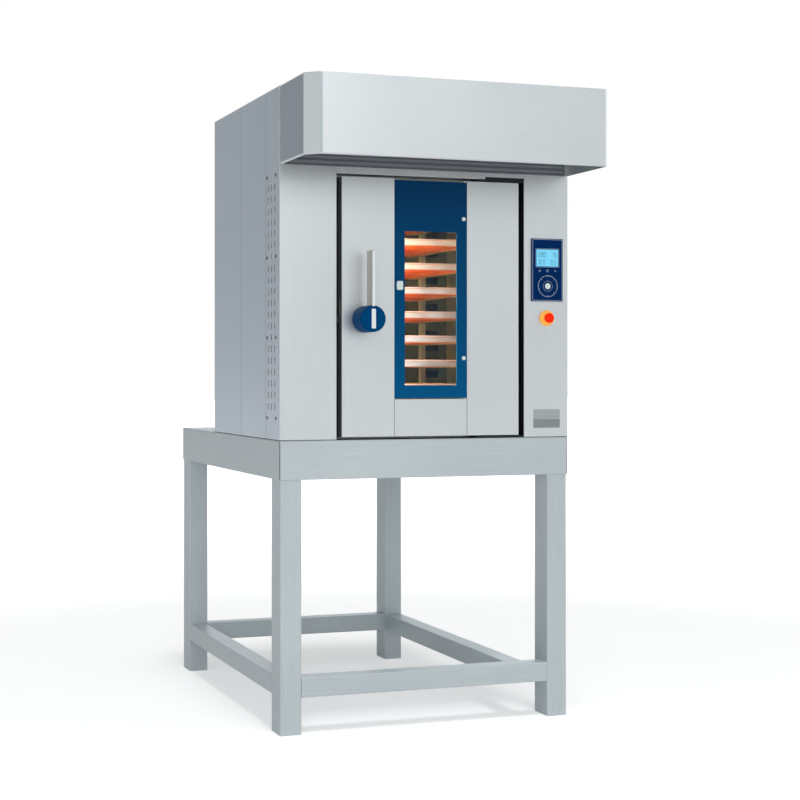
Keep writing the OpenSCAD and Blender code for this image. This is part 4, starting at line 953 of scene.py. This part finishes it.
# %% Lamp
low, high = span("chamber_lamp")
lamp_y, lamp_z = centre(low, high, 1, 2)
glass_r, rise, ripple = 31*MM, 3.2*MM, 0.35*MM
r = np.linspace(glass_r, 0.4*MM, 26)
dome = rise*(1 - (r/glass_r)**2) + ripple*np.cos(12*np.pi*r/glass_r)
profile = [(glass_r, high[0] - 7*MM), (glass_r, high[0] - 5*MM)] + list(zip(r, high[0] - 4.5*MM + dome))
make("lamp_lens", [turned(lamp_y, lamp_z, profile, "right")], "lamp_glass", "oven", ["chamber_lamp"])
profile = [(glass_r, low[0]), (glass_r, high[0] - 7.4*MM)]
make("lamp_holder", [turned(lamp_y, lamp_z, profile, "right")], "black_steel", "oven", slot="black_steel")
profile = [(31.4, -8), (39.4, -8), (39.9, -7), (39.9, -1.5), (38.6, -0.3), (33, -0.3), (31.6, -1.8)]
bezel = turned(lamp_y, lamp_z, in_mm(profile, high[0]), "right", ring=True)
make("lamp_bezel", [bezel], "bare_steel", "oven", slot="bare_steel")
print("lamp at", round(float(lamp_y), 3), round(float(lamp_z), 3))

# %% [markdown]
# A glowing mesh is a weak, noisy light, so real lamps do its work: a small warm one just in front of the
# glass, and a wide warm one for the glow that the walls throw back. A strip of white light hidden beside the
# window catches the tray rims. The last two aren't seen by the camera.

# %% Light in the chamber
lamp("lamp_light", "AREA", 10.0, (1.0, 0.55, 0.16), (high[0] + 2*MM, lamp_y, lamp_z), (1, 0.25, 0),
     shape="DISK", size=0.06)
chamber_glow = lamp("chamber_glow", "AREA", 34.0, (1.0, 0.72, 0.17), (high[0] + 6*MM, -0.10, 1.34),
                    (1, 0.05, 0), shape="RECTANGLE", size=0.5, size_y=0.66)
door_light = lamp("door_light", "AREA", 3.6, (0.95, 0.98, 1.0), (-0.17, -0.445, 1.35), (1, 0.25, 0),
                  shape="RECTANGLE", size=0.02, size_y=0.6)
chamber_glow.visible_camera = door_light.visible_camera = False

# %% [markdown]
# ## The controls
# A blue film covers the control plate, with a thin pale line round its edge. Print on such a film is a
# layer of ink: here it is a real layer a tenth of a millimetre thick, so it stays sharp from close by. All
# print is made of frames, rings and dashes.

# %% Print: frames, rings and dashes
def strip(a0, a1, b0, b1, width, corner, h0, h1):
    """A flat frame of print: an outline and the same outline drawn in by the width, both h0 to h1 high."""
    rings = rounded(a0, a1, b0, b1, corner, [0, 0, width, width])
    return shell(facing(rings, [h0, h1, h1, h0], "front"), loop=True)


def disc_strip(ca, cb, r_out, r_in, h0, h1, count=72):
    """A flat ring of print: two circles, both h0 to h1 high."""
    rings = circle(ca, cb, [r_out, r_out, r_in, r_in], count)
    return shell(facing(rings, [h0, h1, h1, h0], "front"), loop=True)


def dash(ca, cb, length, width, turn, h0, h1):
    """A short printed line through (ca, cb), its long side turned by an angle from the a axis."""
    along = 0.5*length*np.array([math.cos(turn), math.sin(turn)])
    over = 0.5*width*np.array([-math.sin(turn), math.cos(turn)])
    ends = [-along - over, along - over, along + over, -along + over]
    outline = np.array([ca, cb]) + np.array(ends)
    return shell(facing(np.array([outline, outline]), [h0, h1], "front"))


print("a dash has", len(dash(0, 0, 1, 1, 0, 0, 1)[0]), "points")

# %% Control plate
eased("control_plate", "control_panel", 0.6*MM, "panel_film", "oven")
low, high = span("control_plate")
shown_low, shown_high = span("display_window")
face, ink = -low[1], 0.12*MM
panel_print = []
for (a0, _, b0), (a1, _, b1), out, width, corner in ((low, high, -2.5*MM, 0.9*MM, 4*MM),
                                                     (shown_low, shown_high, 3*MM, 0.7*MM, 2*MM)):
    panel_print.append(strip(a0 - out, a1 + out, b0 - out, b1 + out, width, corner, face - ink, face + ink))
make("panel_print", panel_print, "print_pale", "oven", slot="panel_film")
dress("display", "display_window")
print("plate", [round(float(v), 4) for v in high - low])

# %% [markdown]
# The display shows plain numbers, a temperature and minutes, in seven-segment figures. Each figure is a
# choice of seven dashes, and the rest of the display is small rows of dashes.

# %% Display figures
SEGMENTS = {"0": "abcdef", "1": "bc", "2": "abged", "5": "afgcd"}
PLACES = {"a": (0, 1, 0), "g": (0, 0, 0), "d": (0, -1, 0), "f": (-.5, .5, 1), "b": (.5, .5, 1),
          "e": (-.5, -.5, 1), "c": (.5, -.5, 1)}
ink_low, ink_high = -shown_low[1] - 0.02*MM, -shown_low[1] + 0.1*MM


def figure(text, a, b, size, gap=1.35):
    """Dashes for each figure; size is half its height."""
    made = []
    for k, sign in enumerate(text):
        for name in SEGMENTS[sign]:
            u, v, upright = PLACES[name]
            made.append(dash(a + (k*gap + u)*size, b + v*size, size*0.86, size*0.2, upright*math.pi/2,
                             ink_low, ink_high))
    return made


centre_a, centre_b = centre(shown_low, shown_high, 0, 2)
upper_row, size = centre_b + 11*MM, 7*MM
figures = figure("220", centre_a - 29*MM, upper_row, size) + figure("15", centre_a + 20*MM, upper_row, size)
for row in (-8, -14, -20):
    for a, length in ((-26, 10), (-12, 8), (16, 9), (28, 7)):
        figures.append(dash(centre_a + a*MM, centre_b + row*MM, length*MM, 1.6*MM, 0, ink_low, ink_high))
make("display_figures", figures, "print_dark", "oven", slot="display")
print("dashes on the display", len(figures))

# %% [markdown]
# The keys are short round caps, each with a small sign: a light, a timer and a steam drop, drawn with
# rings and dashes. The dial turns; its ring of ticks is printed near its rim, and the white button in its
# middle is a shallow dome.

# %% Keys
def key_sign(sign, ca, cb, h0, h1):
    """The marks of one key: a ring with eight rays, a clock with two hands, or three slanting dashes."""
    if sign == "light":
        marks = [disc_strip(ca, cb, 2.4*MM, 1.7*MM, h0, h1, 32)]
        for turn in np.arange(8)*math.pi/4:
            a, b = ca + 3.8*MM*math.cos(turn), cb + 3.8*MM*math.sin(turn)
            marks.append(dash(a, b, 1.4*MM, 0.6*MM, turn, h0, h1))
    elif sign == "timer":
        marks = [disc_strip(ca, cb, 4.2*MM, 3.5*MM, h0, h1, 32),
                 dash(ca, cb + 1.3*MM, 2.6*MM, 0.6*MM, math.pi/2, h0, h1),
                 dash(ca + 1.0*MM, cb, 2.0*MM, 0.6*MM, 0, h0, h1)]
    else:
        slant = math.pi/2 + 0.25
        marks = [dash(ca + k*2.4*MM, cb, 5.5*MM, 0.7*MM, slant, h0, h1) for k in (-1, 0, 1)]
    return marks


KEYS = ("key_left", "key_a", "light"), ("key_middle", "key_b", "timer"), ("key_right", "key_c", "steam")
for node, body, sign in KEYS:
    low, high = span(node)
    ca, cb = centre(low, high, 0, 2)
    radius, face = (high[0] - low[0])/2, -low[1]
    profile = [(radius, -high[1]), (radius, face - 0.5*MM), (radius - 0.15*MM, face - 0.2*MM),
               (radius - 0.5*MM, face)]
    make(node + "_cap", [turned(ca, cb, profile, "front", 48)], "panel_film", body, [node])
    marks = key_sign(sign, ca, cb, face - 0.05*MM, face + ink)
    make(node + "_sign", marks, "print_pale", body, slot="panel_film")
print("keys", MADE[-6:])

# %% Dial
low, high = span("dial")
ca, cb = centre(low, high, 0, 2)
radius, face = (high[0] - low[0])/2, -low[1]
hole = 10.06*MM
profile = [(hole, face - 3*MM), (hole, face - 0.6*MM), (hole + 0.6*MM, face - 0.2*MM), (20*MM, face - 0.9*MM),
           (29*MM, face - 0.6*MM), (radius - 3*MM, face), (radius - 0.8*MM, face - 0.3*MM),
           (radius, face - 1.2*MM), (radius, -high[1]), (hole, -high[1])]
make("dial_cap", [turned(ca, cb, profile, "front", 96, ring=True)], "dial_film", "dial", ["dial"])
ring_at, ticks = radius - 2.6*MM, 24
dial_print = [disc_strip(ca, cb, ring_at + 0.45*MM, ring_at - 0.45*MM, face - 0.4*MM, face + 0.1*MM),
              disc_strip(ca, cb, 17.3*MM, 16.7*MM, face - 1.3*MM, face - 0.55*MM)]
for k in range(ticks):
    turn, long = k*2*math.pi/ticks, 5.0 if k % 3 == 0 else 2.6
    middle = ring_at - (long/2 + 0.8)*MM
    dial_print.append(dash(ca + middle*math.cos(turn), cb + middle*math.sin(turn), long*MM, 0.8*MM, turn,
                           face - 0.6*MM, face + 0.1*MM))
make("dial_print", dial_print, "print_pale", "dial", slot="dial_film")
print("ticks", ticks)

# %% Button in the dial
low, high = span("dial_button")
face, button_r = -low[1], 9.95*MM
profile = [(button_r, -high[1]), (button_r, face - 1.2*MM), (9.6*MM, face - 0.6*MM), (8.6*MM, face - 0.2*MM),
           (6*MM, face), (0.5*MM, face - 0.1*MM)]
make("dial_centre_cap", [turned(ca, cb, profile, "front")], "white_plastic", "dial_centre", ["dial_button"])
print("button face", round(float(face), 4))

# %% [markdown]
# The stop button is a red mushroom on a stepped yellow collar, each with its own profile. The plain plate
# under it is steel with a darker lower half.

# %% Stop button and plain plate
low, high = span("stop_base")
ca, cb = centre(low, high, 0, 2)
profile = [(6.06, 0), (26, 0), (26, 3.2), (25.3, 4.4), (23.8, 5.0), (16.5, 5.0), (14.6, 5.8), (14, 7),
           (14, 9.4), (13.4, 10.0), (6.06, 10.0)]
collar = turned(ca, cb, in_mm(profile, FRONT), "front", 72, ring=True)
make("stop_collar", [collar], "stop_yellow", "oven", ["stop_base"])
low, high = span("stop_button")
cap = [(5.98, 0), (5.98, 15.0), (14.6, 15.0), (15.7, 15.5), (16, 16.5), (16, 21.4), (15.4, 23.2),
       (13.6, 24.9), (10.5, 26.0), (6, 26.7), (0.4, 27.0)]
top = -low[1] - FRONT
scale = top/(27.0*MM)    # brings the head, above 16 mm, to the solid's own height
cap = [(r*MM, FRONT + min(h*MM*(1 if h < 16 else scale), top)) for r, h in cap]
make("stop_cap", [turned(ca, cb, cap, "front", 72)], "stop_red", "stop", ["stop_button"])
low, high = span("blank_plate")
make("plain_plate", [soft_box(low[0], high[0], low[2], high[2], -high[1], -low[1], "front", 3*MM, 0.4*MM)],
     "plate_grey", "oven", ["blank_plate"])
print("stop stands out", round(float(top), 4))

# %% [markdown]
# ## Behind and above
# The exhaust is a pipe with a beaded end, the motor's cover a folded box, and the cable gland a hexagon
# nut with a dome nut on it.

# %% Exhaust, cover and gland
low, high = span("exhaust_pipe")
ca, cb = centre(low, high, 0, 1)
roof = span("roof_panel")[1][2]
pipe_r, bore_r, bead_r, below_bead = 59*MM, 57.5*MM, 1.5*MM, high[2] - 9*MM
bead = np.linspace(-np.pi/2, np.pi, 10)
outside = [(pipe_r, low[2]), (pipe_r, roof + 0.5*MM), (pipe_r + 0.2*MM, below_bead)]
outside += [(58.4*MM + bead_r*math.cos(t), high[2] - 1.6*MM + bead_r*math.sin(t)) for t in bead]
pipe = outside + [(bore_r, below_bead), (bore_r, low[2])]
collar = [(59.4, 0.1), (60, 0.1), (60, 2.4), (59.4, 3.0), (59.1, 3.0), (59.1, 0.1)]
parts = [turned(ca, cb, profile, "up", 96, ring=True) for profile in (pipe, in_mm(collar, roof))]
make("exhaust", parts, "bare_steel", "oven", ["exhaust_pipe"])
eased("motor_cover", "fan_motor_cover", 1.0*MM, "galvanised", "oven")
eased("cable_gland", "gland", 1.0*MM, "gland_plastic", "oven")
print("pieces", len(MADE))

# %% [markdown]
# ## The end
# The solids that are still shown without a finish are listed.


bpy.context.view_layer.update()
undressed = [n for n, o in NODES.items() if not o.hide_render and not any(
    s.material in FINISH.values() for s in o.material_slots)]
print("without a finish", undressed, "pieces", len(MADE))
